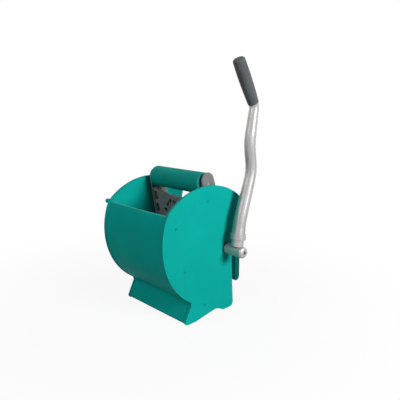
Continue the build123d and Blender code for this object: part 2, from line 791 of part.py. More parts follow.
with BuildPart() as lever_hub:
    rod(pivot, lever_hub_start, lever_hub_end, lever_hub_radius)
    with Locations(foot_plane):
        Cylinder(spigot_radius, spigot_end, align=standing)
    with Locations(foot_plane.offset(neck_start)):
        Cylinder(neck_radius, neck_end - neck_start, align=standing)
    rod(pivot, lever_hub_start, lever_hub_end, shaft_radius + seat_gap, Mode.SUBTRACT)
    with Locations((lever_hub_start + hub_set_screw_inset, *pivot)):
        Cylinder(
            hub_set_screw_radius + seat_gap, lever_hub_radius + overcut, align=hanging,
            mode=Mode.SUBTRACT,
        )
save(lever_hub, "lever_hub")

with BuildPart() as hub_set_screw:
    with Locations((lever_hub_start + hub_set_screw_inset, pivot[0], pivot[1] - shaft_radius)):
        Cylinder(
            hub_set_screw_radius, lever_hub_radius - shaft_radius,
            align=hanging,
        )
save(hub_set_screw, "hub_set_screw")

collar_length = collar_end - neck_end
foot_taper = (lever_foot_radius - lever_radii[0]) / lever_edges[0].length
collar_top_bore = lever_foot_radius - foot_taper * collar_length + seat_gap
with BuildPart() as lever_collar:
    with Locations(foot_plane.offset(neck_end)):
        Cylinder(collar_radius, collar_length, align=standing)
        Cone(
            lever_foot_radius + seat_gap, collar_top_bore, collar_length, align=standing,
            mode=Mode.SUBTRACT,
        )
    for groove in collar_grooves:
        with BuildSketch(foot_plane.offset(groove)):
            Circle(collar_radius + overcut)
            Circle(collar_radius - collar_groove, mode=Mode.SUBTRACT)
        extrude(amount=collar_groove_width, mode=Mode.SUBTRACT)
save(lever_collar, "lever_collar")

grip_end = grip_start + grip_length
grip_foot = (grip_radius, grip_start)
grip_middle = (grip_radius + grip_swell, grip_start + grip_swell_at)
grip_top = (grip_radius + grip_top_swell, grip_end)
grip_section_plane = Plane(
    origin=grip_plane.origin, x_dir=grip_plane.x_dir, z_dir=grip_plane.y_dir * -1
)
with BuildPart() as lever_grip:
    with BuildSketch(grip_section_plane) as grip_section:
        with BuildLine():
            ThreePointArc(grip_foot, grip_middle, grip_top)
            Polyline(grip_top, (0, grip_end), (0, grip_start), grip_foot)
        make_face()
        fillet(grip_section.vertices().sort_by_distance(grip_top)[0], grip_round)
        fillet(grip_section.vertices().sort_by_distance(grip_foot)[0], grip_foot_round)
    revolve(axis=Axis(grip_plane.origin, grip_plane.z_dir))
    with Locations(grip_plane):
        Cylinder(
            lever_radii[-1] + seat_gap, grip_end - grip_end_wall, align=standing,
            mode=Mode.SUBTRACT,
        )
save(lever_grip, "lever_grip")

with BuildPart() as hub_cap_screw:
    with BuildSketch(Plane(origin=(lever_hub_end, *pivot), x_dir=(1, 0, 0), z_dir=(0, 0, 1))):
        with BuildLine():
            Line((0, 0), (0, cap_radius))
            Line((0, cap_radius), (cap_rim, cap_radius))
            TangentArc((cap_rim, cap_radius), (cap_height, cap_flat), tangent=(1, 0))
            Line((cap_height, cap_flat), (cap_height, 0))
            Line((cap_height, 0), (0, 0))
        make_face()
    revolve(axis=Axis((lever_hub_end, *pivot), (1, 0, 0)))
    rod(pivot, lever_hub_end - cap_shank_length, lever_hub_end, cap_shank)
    with BuildSketch(Plane.YZ.offset(lever_hub_end + cap_height)):
        with Locations(pivot):
            RegularPolygon(cap_socket, 6)
    extrude(amount=-cap_socket_depth, mode=Mode.SUBTRACT)
save(hub_cap_screw, "hub_cap_screw")
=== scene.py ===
"""Roller mop wringer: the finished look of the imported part, in the part's own frame."""

import json
import logging
from dataclasses import dataclass
from enum import Enum
from math import acos, asin, atan2, ceil, cos, hypot, pi, radians, sin, sqrt, tan, tau
from typing import Sequence

import bmesh
import bpy
from mathutils import Matrix, Vector


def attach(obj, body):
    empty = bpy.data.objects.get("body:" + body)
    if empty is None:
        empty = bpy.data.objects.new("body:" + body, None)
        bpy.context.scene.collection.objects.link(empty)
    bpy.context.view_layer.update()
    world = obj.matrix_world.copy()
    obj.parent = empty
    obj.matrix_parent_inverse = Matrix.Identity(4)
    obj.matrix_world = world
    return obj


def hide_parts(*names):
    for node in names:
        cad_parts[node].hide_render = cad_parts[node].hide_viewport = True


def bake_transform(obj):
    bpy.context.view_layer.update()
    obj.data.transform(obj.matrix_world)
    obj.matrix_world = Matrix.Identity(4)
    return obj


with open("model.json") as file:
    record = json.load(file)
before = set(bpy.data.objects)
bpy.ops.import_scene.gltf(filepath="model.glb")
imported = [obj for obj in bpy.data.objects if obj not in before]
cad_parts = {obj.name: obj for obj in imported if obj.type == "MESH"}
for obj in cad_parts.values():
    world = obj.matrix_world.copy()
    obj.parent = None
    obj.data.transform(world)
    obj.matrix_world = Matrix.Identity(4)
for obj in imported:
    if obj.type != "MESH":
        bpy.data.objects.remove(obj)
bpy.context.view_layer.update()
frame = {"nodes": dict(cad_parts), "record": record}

log = logging.getLogger("wringer")

Point = tuple[float, float]
Triple = tuple[float, float, float]
Edges = list[bmesh.types.BMEdge]
Faces = list[bmesh.types.BMFace]

MM = 0.001
TINY = 2e-6
SHARP = radians(38)
# Mark on the faces of rounded rims: plastics paint these rims lighter and whiter, a painted highlight along the rims
# broken into patches of edge wear.
RIM_HIGHLIGHT_AND_WEAR = "rim_highlight_and_wear"


class Body(Enum):
    """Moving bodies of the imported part."""

    FRAME = "frame"
    CARRIAGE = "carriage"
    ROLLER = "roller"


class Slot(Enum):
    """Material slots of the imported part."""

    TEAL = "teal_plastic"
    DARK_TEAL = "dark_teal_plastic"
    ROLLER = "roller_rubber"
    GREY = "grey_plastic"
    BEARING = "bearing_plastic"
    BLACK = "black_rubber"
    GRIP = "grip_rubber"
    STEEL = "steel"
    SPRING = "spring_steel"
    CAST = "cast_aluminium"
    TUBE = "tube_aluminium"


class Shader:
    """A material's nodes, with short ways to add and join them."""

    def __init__(self, name: str) -> None:
        """Start a material.

        Args:
            name: the material's name.
        """
        self.material = bpy.data.materials.new(name)
        self.material.use_nodes = True
        self.tree = self.material.node_tree
        self.surface = self.tree.nodes["Principled BSDF"]

    def add(self, kind: str, inputs: dict | None = None, **settings: object) -> bpy.types.Node:
        """Add a node.

        Args:
            kind: the node's type.
            inputs: a constant or an output to join, by input name.
            settings: the node's own settings.

        Returns:
            The new node.
        """
        node = self.tree.nodes.new(kind)
        for key, value in settings.items():
            setattr(node, key, value)
        for key, value in (inputs or {}).items():
            if isinstance(value, bpy.types.NodeSocket):
                self.tree.links.new(value, node.inputs[key])
            else:
                node.inputs[key].default_value = value
        return node

    def place(self, stretch: Triple = (1.0, 1.0, 1.0)) -> bpy.types.NodeSocket:
        """Return the object's own coordinates, stretched along its axes."""
        coords = self.add("ShaderNodeTexCoord").outputs["Object"]
        return self.add("ShaderNodeMapping", {"Vector": coords, "Scale": stretch}).outputs["Vector"]

    def noise(self, place: bpy.types.NodeSocket, size: float, detail: float = 3.0) -> bpy.types.NodeSocket:
        """Return a noise whose marks are about a size in millimetres."""
        inputs = {"Vector": place, "Scale": 1 / (size * MM), "Detail": detail}
        return self.add("ShaderNodeTexNoise", inputs).outputs["Fac"]

    def ramp(self, factor: bpy.types.NodeSocket, low: tuple, high: tuple) -> bpy.types.NodeSocket:
        """Return a colour between two stops.

        Args:
            factor: the value to place between the stops.
            low: position and colour of the lower stop.
            high: position and colour of the upper stop.

        Returns:
            The colour.
        """
        node = self.add("ShaderNodeValToRGB", {"Fac": factor})
        for stop, (position, color) in zip(node.color_ramp.elements, (low, high)):
            stop.position = position
            stop.color = (*color, 1.0)
        return node.outputs["Color"]

    def spread(self, factor: bpy.types.NodeSocket, low: float, high: float) -> bpy.types.NodeSocket:
        """Return the middle of a noise's spread as a number from low to high."""
        limits = {"Value": factor, "From Min": 0.3, "From Max": 0.7, "To Min": low, "To Max": high}
        return self.add("ShaderNodeMapRange", limits).outputs["Result"]

    def mix(self, factor: bpy.types.NodeSocket, a: object, b: object) -> bpy.types.NodeSocket:
        """Return colour a mixed towards colour b by a factor."""
        node = self.add("ShaderNodeMix", data_type="RGBA")
        self.tree.links.new(factor, node.inputs["Factor"])
        for socket, value in ((node.inputs[6], a), (node.inputs[7], b)):
            if isinstance(value, bpy.types.NodeSocket):
                self.tree.links.new(value, socket)
            else:
                socket.default_value = (*value, 1.0)
        return node.outputs[2]

    def rims(self) -> bpy.types.NodeSocket:
        """Return a factor that is 1 on rims that were rounded off, and else 0."""
        return self.add("ShaderNodeAttribute", attribute_name=RIM_HIGHLIGHT_AND_WEAR).outputs["Fac"]

    def crevices(self, reach: float) -> bpy.types.NodeSocket:
        """Return a factor that is high in slots and corners narrower than a reach in millimetres, which masks
        painted shade.
        """
        inputs = {"Distance": reach * MM}
        open_share = self.add("ShaderNodeAmbientOcclusion", inputs, samples=12, only_local=True).outputs["AO"]
        limits = {"Value": open_share, "From Min": 0.8, "From Max": 0.45}
        return self.add("ShaderNodeMapRange", limits).outputs["Result"]

    def bump(self, height: bpy.types.NodeSocket, strength: float, depth: float) -> None:
        """Raise the surface by a height.

        Args:
            height: the height, from 0 to 1.
            strength: how much of it shows.
            depth: the full height in millimetres.
        """
        inputs = {"Height": height, "Strength": strength, "Distance": depth * MM}
        under = self.surface.inputs["Normal"].links
        if under:
            inputs["Normal"] = under[0].from_socket
        self.set("Normal", self.add("ShaderNodeBump", inputs).outputs["Normal"])

    def set(self, name: str, value: object) -> None:
        """Give one of the surface's inputs a constant or join an output to it."""
        socket = self.surface.inputs[name]
        if isinstance(value, bpy.types.NodeSocket):
            self.tree.links.new(value, socket)
        else:
            socket.default_value = value


def sees_white(tree: bpy.types.NodeTree) -> bpy.types.NodeSocket:
    """Return 1 for rays that show the surroundings to the camera, in a shine or through glass, and else 0."""
    path = tree.nodes.new("ShaderNodeLightPath").outputs
    seen = path["Is Camera Ray"]
    for name in ("Is Glossy Ray", "Is Transmission Ray"):
        either = tree.nodes.new("ShaderNodeMath")
        either.operation = "MAXIMUM"
        tree.links.new(seen, either.inputs[0])
        tree.links.new(path[name], either.inputs[1])
        seen = either.outputs["Value"]
    return seen


def scaled(color: Triple, share: float) -> Triple:
    """Return a colour made darker or lighter by a share."""
    return tuple(min(1.0, part * share) for part in color)


@dataclass(frozen=True)
class MouldedPlastic:
    """Moulded plastic: soft mottling, rims painted lighter and whiter as a highlight with patchy wear, painted shade
    in narrow recesses where asked, fine grain and slow waves of sheen.
    """

    color: Triple
    roughness: float = 0.42
    mottle: float = 90.0
    grain: float = 0.9
    wave: float = 14.0
    highlight_and_wear: float = 0.35
    patch: float = 25.0
    whiten: float = 0.09
    painted_recess_shade: float = 0.0
    sheen: float = 0.3

    def material(self, name: str) -> bpy.types.Material:
        """Return the finish as a material."""
        shader = Shader(name)
        place = shader.place()
        tint = shader.ramp(
            shader.noise(place, self.mottle, 4.0),
            (0.3, scaled(self.color, 0.93)), (0.7, scaled(self.color, 1.05)),
        )
        # Painted highlight with wear: rims are mixed in patches towards a lighter, whiter colour that stands for the
        # shine along rounded rims as well as edge wear.
        pale = tuple(part * 1.15 + self.whiten for part in self.color)
        rim_highlight_and_wear = shader.mix(shader.noise(place, 9.0), scaled(self.color, 1.1), pale)
        patches = shader.spread(shader.noise(place, self.patch), self.highlight_and_wear / 2, self.highlight_and_wear)
        rim_highlight_and_wear_share = shader.add("ShaderNodeMath", {0: shader.rims(), 1: patches}, operation="MULTIPLY")
        color = shader.mix(rim_highlight_and_wear_share.outputs["Value"], tint, rim_highlight_and_wear)
        # Painted shade: slots and corners narrower than the reach are darkened towards near black.
        if self.painted_recess_shade:
            color = shader.mix(shader.crevices(self.painted_recess_shade), color, scaled(self.color, 0.06))
        shader.set("Base Color", color)
        shine = shader.noise(place, self.wave, 5.0)
        shader.set("Roughness", shader.spread(shine, self.roughness - 0.05, self.roughness + 0.07))
        shader.set("Specular IOR Level", self.sheen)
        shader.bump(shader.noise(place, self.grain, 2.0), 0.16, 0.12)
        shader.bump(shader.noise(place, self.wave), 0.05, 0.6)
        return shader.material


@dataclass(frozen=True)
class Rubber:
    """Rubber: dull, with a dusty bloom and a fine pebbled skin."""

    color: Triple
    roughness: float = 0.6
    pebble: float = 1.2
    bloom: float = 30.0
    stretch: Triple = (1.0, 1.0, 1.0)
    sheen: float = 0.2

    def material(self, name: str) -> bpy.types.Material:
        """Return the finish as a material."""
        shader = Shader(name)
        place = shader.place(self.stretch)
        dust = shader.ramp(
            shader.noise(place, self.bloom, 5.0),
            (0.32, scaled(self.color, 0.88)), (0.72, scaled(self.color, 1.14)),
        )
        shader.set("Base Color", dust)
        shine = shader.noise(place, self.bloom / 3, 4.0)
        shader.set("Roughness", shader.spread(shine, self.roughness - 0.06, self.roughness + 0.08))
        shader.set("Specular IOR Level", self.sheen)
        shader.bump(shader.noise(shader.place(), self.pebble, 2.0), 0.22, 0.18)
        return shader.material


@dataclass(frozen=True)
class Metal:
    """Worked metal: fine lines along the way it was worked, with cloudy patches of shine."""

    color: Triple
    roughness: float = 0.32
    line: float = 0.6
    stretch: Triple = (1.0, 1.0, 1.0)
    cloud: float = 16.0
    depth: float = 0.05
    metallic: float = 1.0
    attribute: str = ""
    contrast: float = 0.14

    def material(self, name: str) -> bpy.types.Material:
        """Return the finish as a material."""
        shader = Shader(name)
        if self.attribute:
            along = shader.add("ShaderNodeAttribute", attribute_name=self.attribute).outputs["Vector"]
        else:
            along = shader.place(self.stretch)
        lines = shader.noise(along, self.line, 4.0)
        clouds = shader.noise(shader.place(), self.cloud, 4.0)
        dark, light = 1.0 - self.contrast, 1.0 + self.contrast / 2
        bright = shader.ramp(lines, (0.32, scaled(self.color, dark)), (0.68, scaled(self.color, light)))
        dull = shader.ramp(lines, (0.32, scaled(self.color, dark * 0.93)), (0.68, scaled(self.color, light * 0.9)))
        shader.set("Base Color", shader.mix(clouds, bright, dull))
        shader.set("Metallic", self.metallic)
        shader.set("Roughness", shader.spread(clouds, self.roughness - 0.05, self.roughness + 0.09))
        shader.bump(lines, 0.25, self.depth)
        return shader.material


FINISHES: dict[Slot, MouldedPlastic | Rubber | Metal] = {
    # The plastics' rims are painted lighter and whiter: a painted highlight along the rounded rims, with patchy
    # wear.
    Slot.TEAL: MouldedPlastic((0.004, 0.44, 0.385), roughness=0.5, highlight_and_wear=0.8, whiten=0.25, sheen=0.02),
    # The rear cover's darker teal is painted shade: it is darkened to stand for the shade that the cover sits in.
    Slot.DARK_TEAL: MouldedPlastic((0.003, 0.13, 0.115), roughness=0.5, highlight_and_wear=1.0, whiten=0.3, sheen=0.02),
    Slot.ROLLER: Rubber((0.004, 0.36, 0.305), roughness=0.6, stretch=(0.35, 1.0, 1.0), sheen=0.06),
    # The grey plastic's darkened slots and corners are painted shade.
    Slot.GREY: MouldedPlastic((0.22, 0.225, 0.235), roughness=0.5, highlight_and_wear=0.4, painted_recess_shade=14.0, sheen=0.15),
    Slot.BEARING: MouldedPlastic((0.03, 0.03, 0.033), roughness=0.4, highlight_and_wear=0.2),
    Slot.BLACK: Rubber((0.02, 0.02, 0.02)),
    Slot.GRIP: Rubber((0.115, 0.125, 0.135), roughness=0.55, pebble=1.6, sheen=0.12),
    Slot.STEEL: Metal((0.5, 0.48, 0.475), roughness=0.42, stretch=(12.0, 1.0, 1.0), line=2.4, metallic=0.6),
    Slot.SPRING: Metal((0.3, 0.3, 0.32), roughness=0.36, line=1.2),
    Slot.CAST: Metal((0.48, 0.47, 0.47), roughness=0.42, line=1.4, depth=0.12, metallic=0.5),
    Slot.TUBE: Metal((0.47, 0.46, 0.455), roughness=0.42, line=3.0, attribute="grain", metallic=0.45, contrast=0.3),
}


class Stock:
    """The finishes made so far, so that each slot has one material."""

    def __init__(self) -> None:
        """Start with no material made."""
        self.made: dict[Slot, bpy.types.Material] = {}
        record = frame["record"]
        self.slots = {part["node"]: Slot(part["material_slot"]) for part in record["subparts"]}

    def material(self, slot: Slot) -> bpy.types.Material:
        """Return a slot's material, made when it is first asked for."""
        if slot not in self.made:
            self.made[slot] = FINISHES[slot].material(slot.value)
        return self.made[slot]

    def dress(self, node: str) -> None:
        """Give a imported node, shown as it is, its slot's finish."""
        slots = frame["nodes"][node].data.materials
        slots.clear()
        slots.append(self.material(self.slots[node]))
        log.info("%s keeps its packed shape", node)


@dataclass(frozen=True)
class Arc:
    """Arc on a work plane, in millimetres and radians. It starts at an angle and runs through a sweep."""

    center: Point
    radius: float
    start: float
    sweep: float

    def point(self, share: float) -> Point:
        """Return the arc's point at a share of its sweep."""
        turn = self.start + self.sweep * share
        return (self.center[0] + self.radius * cos(turn), self.center[1] + self.radius * sin(turn))

    def steps(self) -> int:
        """Return how many straight steps draw the arc smoothly."""
        return max(3, ceil(abs(self.sweep) * sqrt(self.radius) / 0.75))

    def inset(self, depth: float) -> "Arc":
        """Return the arc moved into the shape, which lies to the right of the way it runs."""
        change = -depth if self.sweep < 0 else depth
        return Arc(self.center, self.radius + change, self.start, self.sweep)

    def back(self) -> "Arc":
        """Return the arc run the other way."""
        return Arc(self.center, self.radius, self.start + self.sweep, -self.sweep)

    def part(self, start: float, end: float) -> "Arc":
        """Return a part of the arc, given by shares of its sweep."""
        return Arc(self.center, self.radius, self.start + self.sweep * start, self.sweep * (end - start))

    def share(self, point: Point) -> float:
        """Return the share of the sweep at which the arc comes nearest to a point."""
        turn = atan2(point[1] - self.center[1], point[0] - self.center[0]) - self.start
        return (turn % tau if self.sweep > 0 else -(-turn % tau)) / self.sweep


def arc_between(center: Point, start: Point, end: Point, clockwise: bool) -> Arc:
    """Return the arc about a center from a start to an end."""
    first = atan2(start[1] - center[1], start[0] - center[0])
    last = atan2(end[1] - center[1], end[0] - center[0])
    sweep = -((first - last) % tau) if clockwise else (last - first) % tau
    return Arc(center, hypot(start[0] - center[0], start[1] - center[1]), first, sweep)


def arc_through(start: Point, middle: Point, end: Point) -> Arc:
    """Return the arc from a start through a middle point to an end."""
    (ax, ay), (bx, by), (cx, cy) = start, middle, end
    spread = 2 * (ax * (by - cy) + bx * (cy - ay) + cx * (ay - by))
    a, b, c = ax**2 + ay**2, bx**2 + by**2, cx**2 + cy**2
    center = (
        (a * (by - cy) + b * (cy - ay) + c * (ay - by)) / spread,
        (a * (cx - bx) + b * (ax - cx) + c * (bx - ax)) / spread,
    )
    return arc_between(center, start, end, spread < 0)


def corner(before: Point, at: Point, after: Point, radius: float) -> Arc:
    """Return the arc that rounds a corner between two straight lines."""
    way_in = Vector((at[0] - before[0], at[1] - before[1])).normalized()
    way_out = Vector((after[0] - at[0], after[1] - at[1])).normalized()
    turn = atan2(way_in.x * way_out.y - way_in.y * way_out.x, way_in.dot(way_out))
    reach = radius * tan(abs(turn) / 2)
    side = 1 if turn > 0 else -1
    start = Vector(at) - way_in * reach
    center = start + Vector((-way_in.y, way_in.x)) * radius * side
    return Arc(tuple(center), radius, atan2(start.y - center.y, start.x - center.x), turn)


def toward(center: Point, radius: float, point: Point) -> Point:
    """Return the point of a circle on the ray from its center through a point."""
    way = Vector((point[0] - center[0], point[1] - center[1])).normalized()
    return (center[0] + way.x * radius, center[1] + way.y * radius)


def circles_meet(a: Point, a_radius: float, b: Point, b_radius: float) -> Point:
    """Return the meeting point of two circles that lies to the left of the way from a to b."""
    across, rise = b[0] - a[0], b[1] - a[1]
    apart = hypot(across, rise)
    along = (a_radius**2 - b_radius**2 + apart**2) / (2 * apart)
    side = sqrt(a_radius**2 - along**2)
    return (
        a[0] + (along * across - side * rise) / apart,
        a[1] + (along * rise + side * across) / apart,
    )


def line_meets_circle(start: Point, way: Vector, center: Point, radius: float) -> Point:
    """Return where a line meets a circle, at the end nearer to the line's start."""
    gap = Vector((start[0] - center[0], start[1] - center[1]))
    half = gap.dot(way)
    root = sqrt(half**2 - gap.length_squared + radius**2)
    reach = min(-half - root, -half + root, key=abs)
    return (start[0] + way.x * reach, start[1] + way.y * reach)


def hull(circles: Sequence[tuple[Point, float]]) -> list[Arc]:
    """Return the arcs of a band drawn tight round circles, which come counterclockwise."""
    normals = []
    for (a, a_radius), (b, b_radius) in zip(circles, [*circles[1:], circles[0]]):
        way = atan2(b[1] - a[1], b[0] - a[0])
        normals.append(way - acos((a_radius - b_radius) / hypot(b[0] - a[0], b[1] - a[1])))
    return [
        Arc(center, radius, normals[place - 1], (normals[place] - normals[place - 1]) % tau)
        for place, (center, radius) in enumerate(circles)
    ]


def work_plane(origin: Triple, across: Triple, up: Triple) -> Matrix:
    """Return the matrix from millimetres on a work plane to metres in the frame."""
    u, v = Vector(across).normalized(), Vector(up).normalized()
    turned = Matrix((u, v, u.cross(v))).transposed().to_4x4()
    turned.translation = Vector(origin)
    return Matrix.Scale(MM, 4) @ turned


def side_plane(x: float) -> Matrix:
    """Return the work plane across X, with Y across and Z up."""
    return work_plane((x, 0, 0), (0, 1, 0), (0, 0, 1))


def axis_plane(at: Point, x: float = 0.0) -> Matrix:
    """Return the work plane along an X axis at (y, z), with X across and Z up."""
    return work_plane((x, *at), (1, 0, 0), (0, 0, 1))


class Draft:
    """A mesh in the making, drawn in millimetres on a work plane."""

    def __init__(self, work: Matrix) -> None:
        """Start an empty mesh.

        Args:
            work: the work plane.
        """
        self.mesh = bmesh.new()
        self.rim_highlight_and_wear = self.mesh.faces.layers.float.new(RIM_HIGHLIGHT_AND_WEAR)
        self.work = work
        self.across = work.to_3x3().col[0].normalized()
        self.normal = work.to_3x3().col[2].normalized()

    def at(self, point: Point) -> Vector:
        """Return a point of the work plane in the frame."""
        return self.work @ Vector((*point, 0.0))

    def trace(self, path: Sequence[Point | Arc], closed: bool = True) -> Edges:
        """Draw points and arcs, joined by straight lines.

        Args:
            path: the points and arcs.
            closed: whether a last line leads back to the start.

        Returns:
            The edges drawn.
        """
        known = set(self.mesh.edges)
        first = last = None
        for item in path:
            spot = self.at(item.point(0) if isinstance(item, Arc) else item)
            if last is None or (last.co - spot).length > TINY:
                vert = self.mesh.verts.new(spot)
                if last is not None:
                    self.mesh.edges.new((last, vert))
                first = first or vert
                last = vert
            if isinstance(item, Arc):
                spun = bmesh.ops.spin(
                    self.mesh, geom=[last], cent=self.at(item.center), axis=self.normal,
                    angle=item.sweep, steps=item.steps(),
                )
                last = next(g for g in spun["geom_last"] if isinstance(g, bmesh.types.BMVert))
        if closed:
            self.mesh.edges.new((last, first))
        return [edge for edge in self.mesh.edges if edge not in known]

    def hole(self, center: Point, radius: float, segments: int = 40) -> Edges:
        """Draw a circle."""
        made = bmesh.ops.create_circle(
            self.mesh, segments=segments, radius=radius,
            matrix=self.work @ Matrix.Translation((*center, 0.0)),
        )
        return list({edge for vert in made["verts"] for edge in vert.link_edges})

    def fill(self, edges: Edges) -> Faces:
        """Fill the space between closed lines."""
        made = bmesh.ops.triangle_fill(self.mesh, use_beauty=True, edges=edges, normal=self.normal)
        return [g for g in made["geom"] if isinstance(g, bmesh.types.BMFace)]

    def push(self, faces: Faces, height: float) -> Faces:
        """Extrude faces along the plane's normal.

        Args:
            faces: the faces.
            height: how far, in millimetres.

        Returns:
            The faces at the far end.
        """
        made = bmesh.ops.extrude_face_region(self.mesh, geom=faces)["geom"]
        verts = [g for g in made if isinstance(g, bmesh.types.BMVert)]
        bmesh.ops.translate(self.mesh, verts=verts, vec=self.normal * (height * MM))
        return [g for g in made if isinstance(g, bmesh.types.BMFace)]

    def turn(self, path: Sequence[Point | Arc], closed: bool, segments: int = 72) -> None:
        """Spin a line of (along, radius) points and arcs round the plane's first axis."""
        edges = self.trace(path, closed)
        verts = list({vert for edge in edges for vert in edge.verts})
        bmesh.ops.spin(
            self.mesh, geom=verts + edges, cent=self.at((0.0, 0.0)), axis=self.across,
            angle=tau, steps=segments, use_merge=True,
        )
        bmesh.ops.remove_doubles(self.mesh, verts=self.mesh.verts, dist=TINY)

    def sharp(self, angle: float = radians(50)) -> Edges:
        """Return the edges whose faces meet at more than an angle."""
        bmesh.ops.recalc_face_normals(self.mesh, faces=self.mesh.faces)
        return [e for e in self.mesh.edges if e.is_manifold and e.calc_face_angle() > angle]

    def rim(self, along: float, radius: float) -> Edges:
        """Return a turned piece's ring of edges at a place along its axis."""
        middle = self.at((along, 0.0))
        reach = {v for v in self.mesh.verts if abs((v.co - middle).length - radius * MM) < TINY}
        ring = {v for v in reach if abs((v.co - middle).dot(self.across)) < TINY}
        return [edge for edge in self.mesh.edges if all(vert in ring for vert in edge.verts)]

    def soften(self, edges: Edges, size: float, segments: int = 3) -> None:
        """Round edges off by a size in millimetres, and mark the new faces, which plastics paint lighter as a rim
        highlight with wear.
        """
        made = bmesh.ops.bevel(
            self.mesh, geom=edges, offset=size * MM, offset_type="OFFSET", segments=segments,
            profile=0.5, affect="EDGES", clamp_overlap=True, material=-1,
        )
        for face in made["faces"]:
            face[self.rim_highlight_and_wear] = 1.0

    def mirror(self) -> None:
        """Copy the mesh to the other side of X and join the halves."""
        everything = [*self.mesh.verts, *self.mesh.edges, *self.mesh.faces]
        bmesh.ops.mirror(self.mesh, geom=everything, matrix=Matrix.Identity(4), merge_dist=TINY, axis="X")


class Maker:
    """Turns drafts into finished pieces of the part."""

    def __init__(self) -> None:
        """Start with an empty stock of finishes."""
        self.stock = Stock()

    def finish(self, draft: Draft, name: str, slot: Slot) -> bpy.types.Object:
        """Make a draft into a smooth shaded object.

        Args:
            draft: the draft, which is used up.
            name: the piece's name.
            slot: the slot that it takes its finish from.

        Returns:
            The object.
        """
        bmesh.ops.remove_doubles(draft.mesh, verts=draft.mesh.verts, dist=TINY)
        bmesh.ops.dissolve_degenerate(draft.mesh, edges=draft.mesh.edges, dist=TINY)
        bmesh.ops.recalc_face_normals(draft.mesh, faces=draft.mesh.faces)
        loose = sum(not edge.is_manifold for edge in draft.mesh.edges)
        for face in draft.mesh.faces:
            face.smooth = True
            face.material_index = 0
        mesh = bpy.data.meshes.new(name)
        draft.mesh.to_mesh(mesh)
        draft.mesh.free()
        mesh.set_sharp_from_angle(angle=SHARP)
        mesh.materials.append(self.stock.material(slot))
        piece = bpy.data.objects.new(name, mesh)
        bpy.context.scene.collection.objects.link(piece)
        even = piece.modifiers.new("even_shading", "WEIGHTED_NORMAL")
        even.keep_sharp = True
        log.info("%s: %d faces, %d open edges", name, len(mesh.polygons), loose)
        return piece

    def place(self, draft: Draft, name: str, slot: Slot, body: Body, *nodes: str) -> bpy.types.Object:
        """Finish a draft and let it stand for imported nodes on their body.

        Args:
            draft: the draft, which is used up.
            name: the piece's name.
            slot: the slot that it takes its finish from.
            body: the body that it moves with.
            nodes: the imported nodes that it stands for.

        Returns:
            The object.
        """
        piece = self.finish(draft, name, slot)
        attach(piece, body.value)
        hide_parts(*nodes)
        return piece


@dataclass(frozen=True)
class Layout:
    """Sizes that several sub-assemblies share, in millimetres, with places as (y, z)."""

    plate_x: float = 125.0
    plate_thickness: float = 6.0
    end_wall: float = 4.0
    pivot: Point = (124.0, 175.0)
    shaft_radius: float = 10.0
    bush_radius: float = 14.0
    fit: float = 0.05
    arm_lean: float = radians(16.87)
    arm_length: float = 186.0
    left_arm_x: float = -100.0
    right_arm_x: float = 106.5
    arm_thickness: float = 4.5
    stop_at: Point = (130.68, 260.11)
    tie_bar_at: Point = (43.0, 37.5)
    drum_screws: tuple[Point, ...] = ((-55.0, 262.0), (-27.0, 145.0), (51.0, 314.5))
    cover_screws: tuple[Point, ...] = ((166.0, 250.0), (160.0, 215.0))
    screw_shank: float = 2.2
    bar_screw_shank: float = 3.0
    peg_at: Point = (-74.0, 294.0)

    @property
    def wall_x(self) -> float:
        """Return X at the outer face of the drum's end wall."""
        return self.plate_x - self.plate_thickness

    @property
    def inner_x(self) -> float:
        """Return X at the inner face of the drum's end wall."""
        return self.wall_x - self.end_wall

    @property
    def along(self) -> Triple:
        """Return the way from the shaft along the carrier's arms."""
        return (0.0, -sin(self.arm_lean), cos(self.arm_lean))

    @property
    def forward(self) -> Triple:
        """Return the way forward from the carrier's arms."""
        return (0.0, -cos(self.arm_lean), -sin(self.arm_lean))

    def carrier(self, along: float, forward: float) -> Point:
        """Return the (y, z) of a point of the carrier."""
        spot = Vector((0.0, *self.pivot)) + Vector(self.along) * along + Vector(self.forward) * forward
        return (spot.y, spot.z)

    def holes(self) -> list[tuple[Point, float]]:
        """Return the holes through a side plate and an end wall, as centers and radii."""
        screws = [(at, self.screw_shank + self.fit) for at in self.drum_screws + self.cover_screws]
        bars = [(at, self.bar_screw_shank + self.fit) for at in (self.tie_bar_at, self.stop_at)]
        return [(self.pivot, self.bush_radius + self.fit), *screws, *bars]


LAYOUT = Layout()


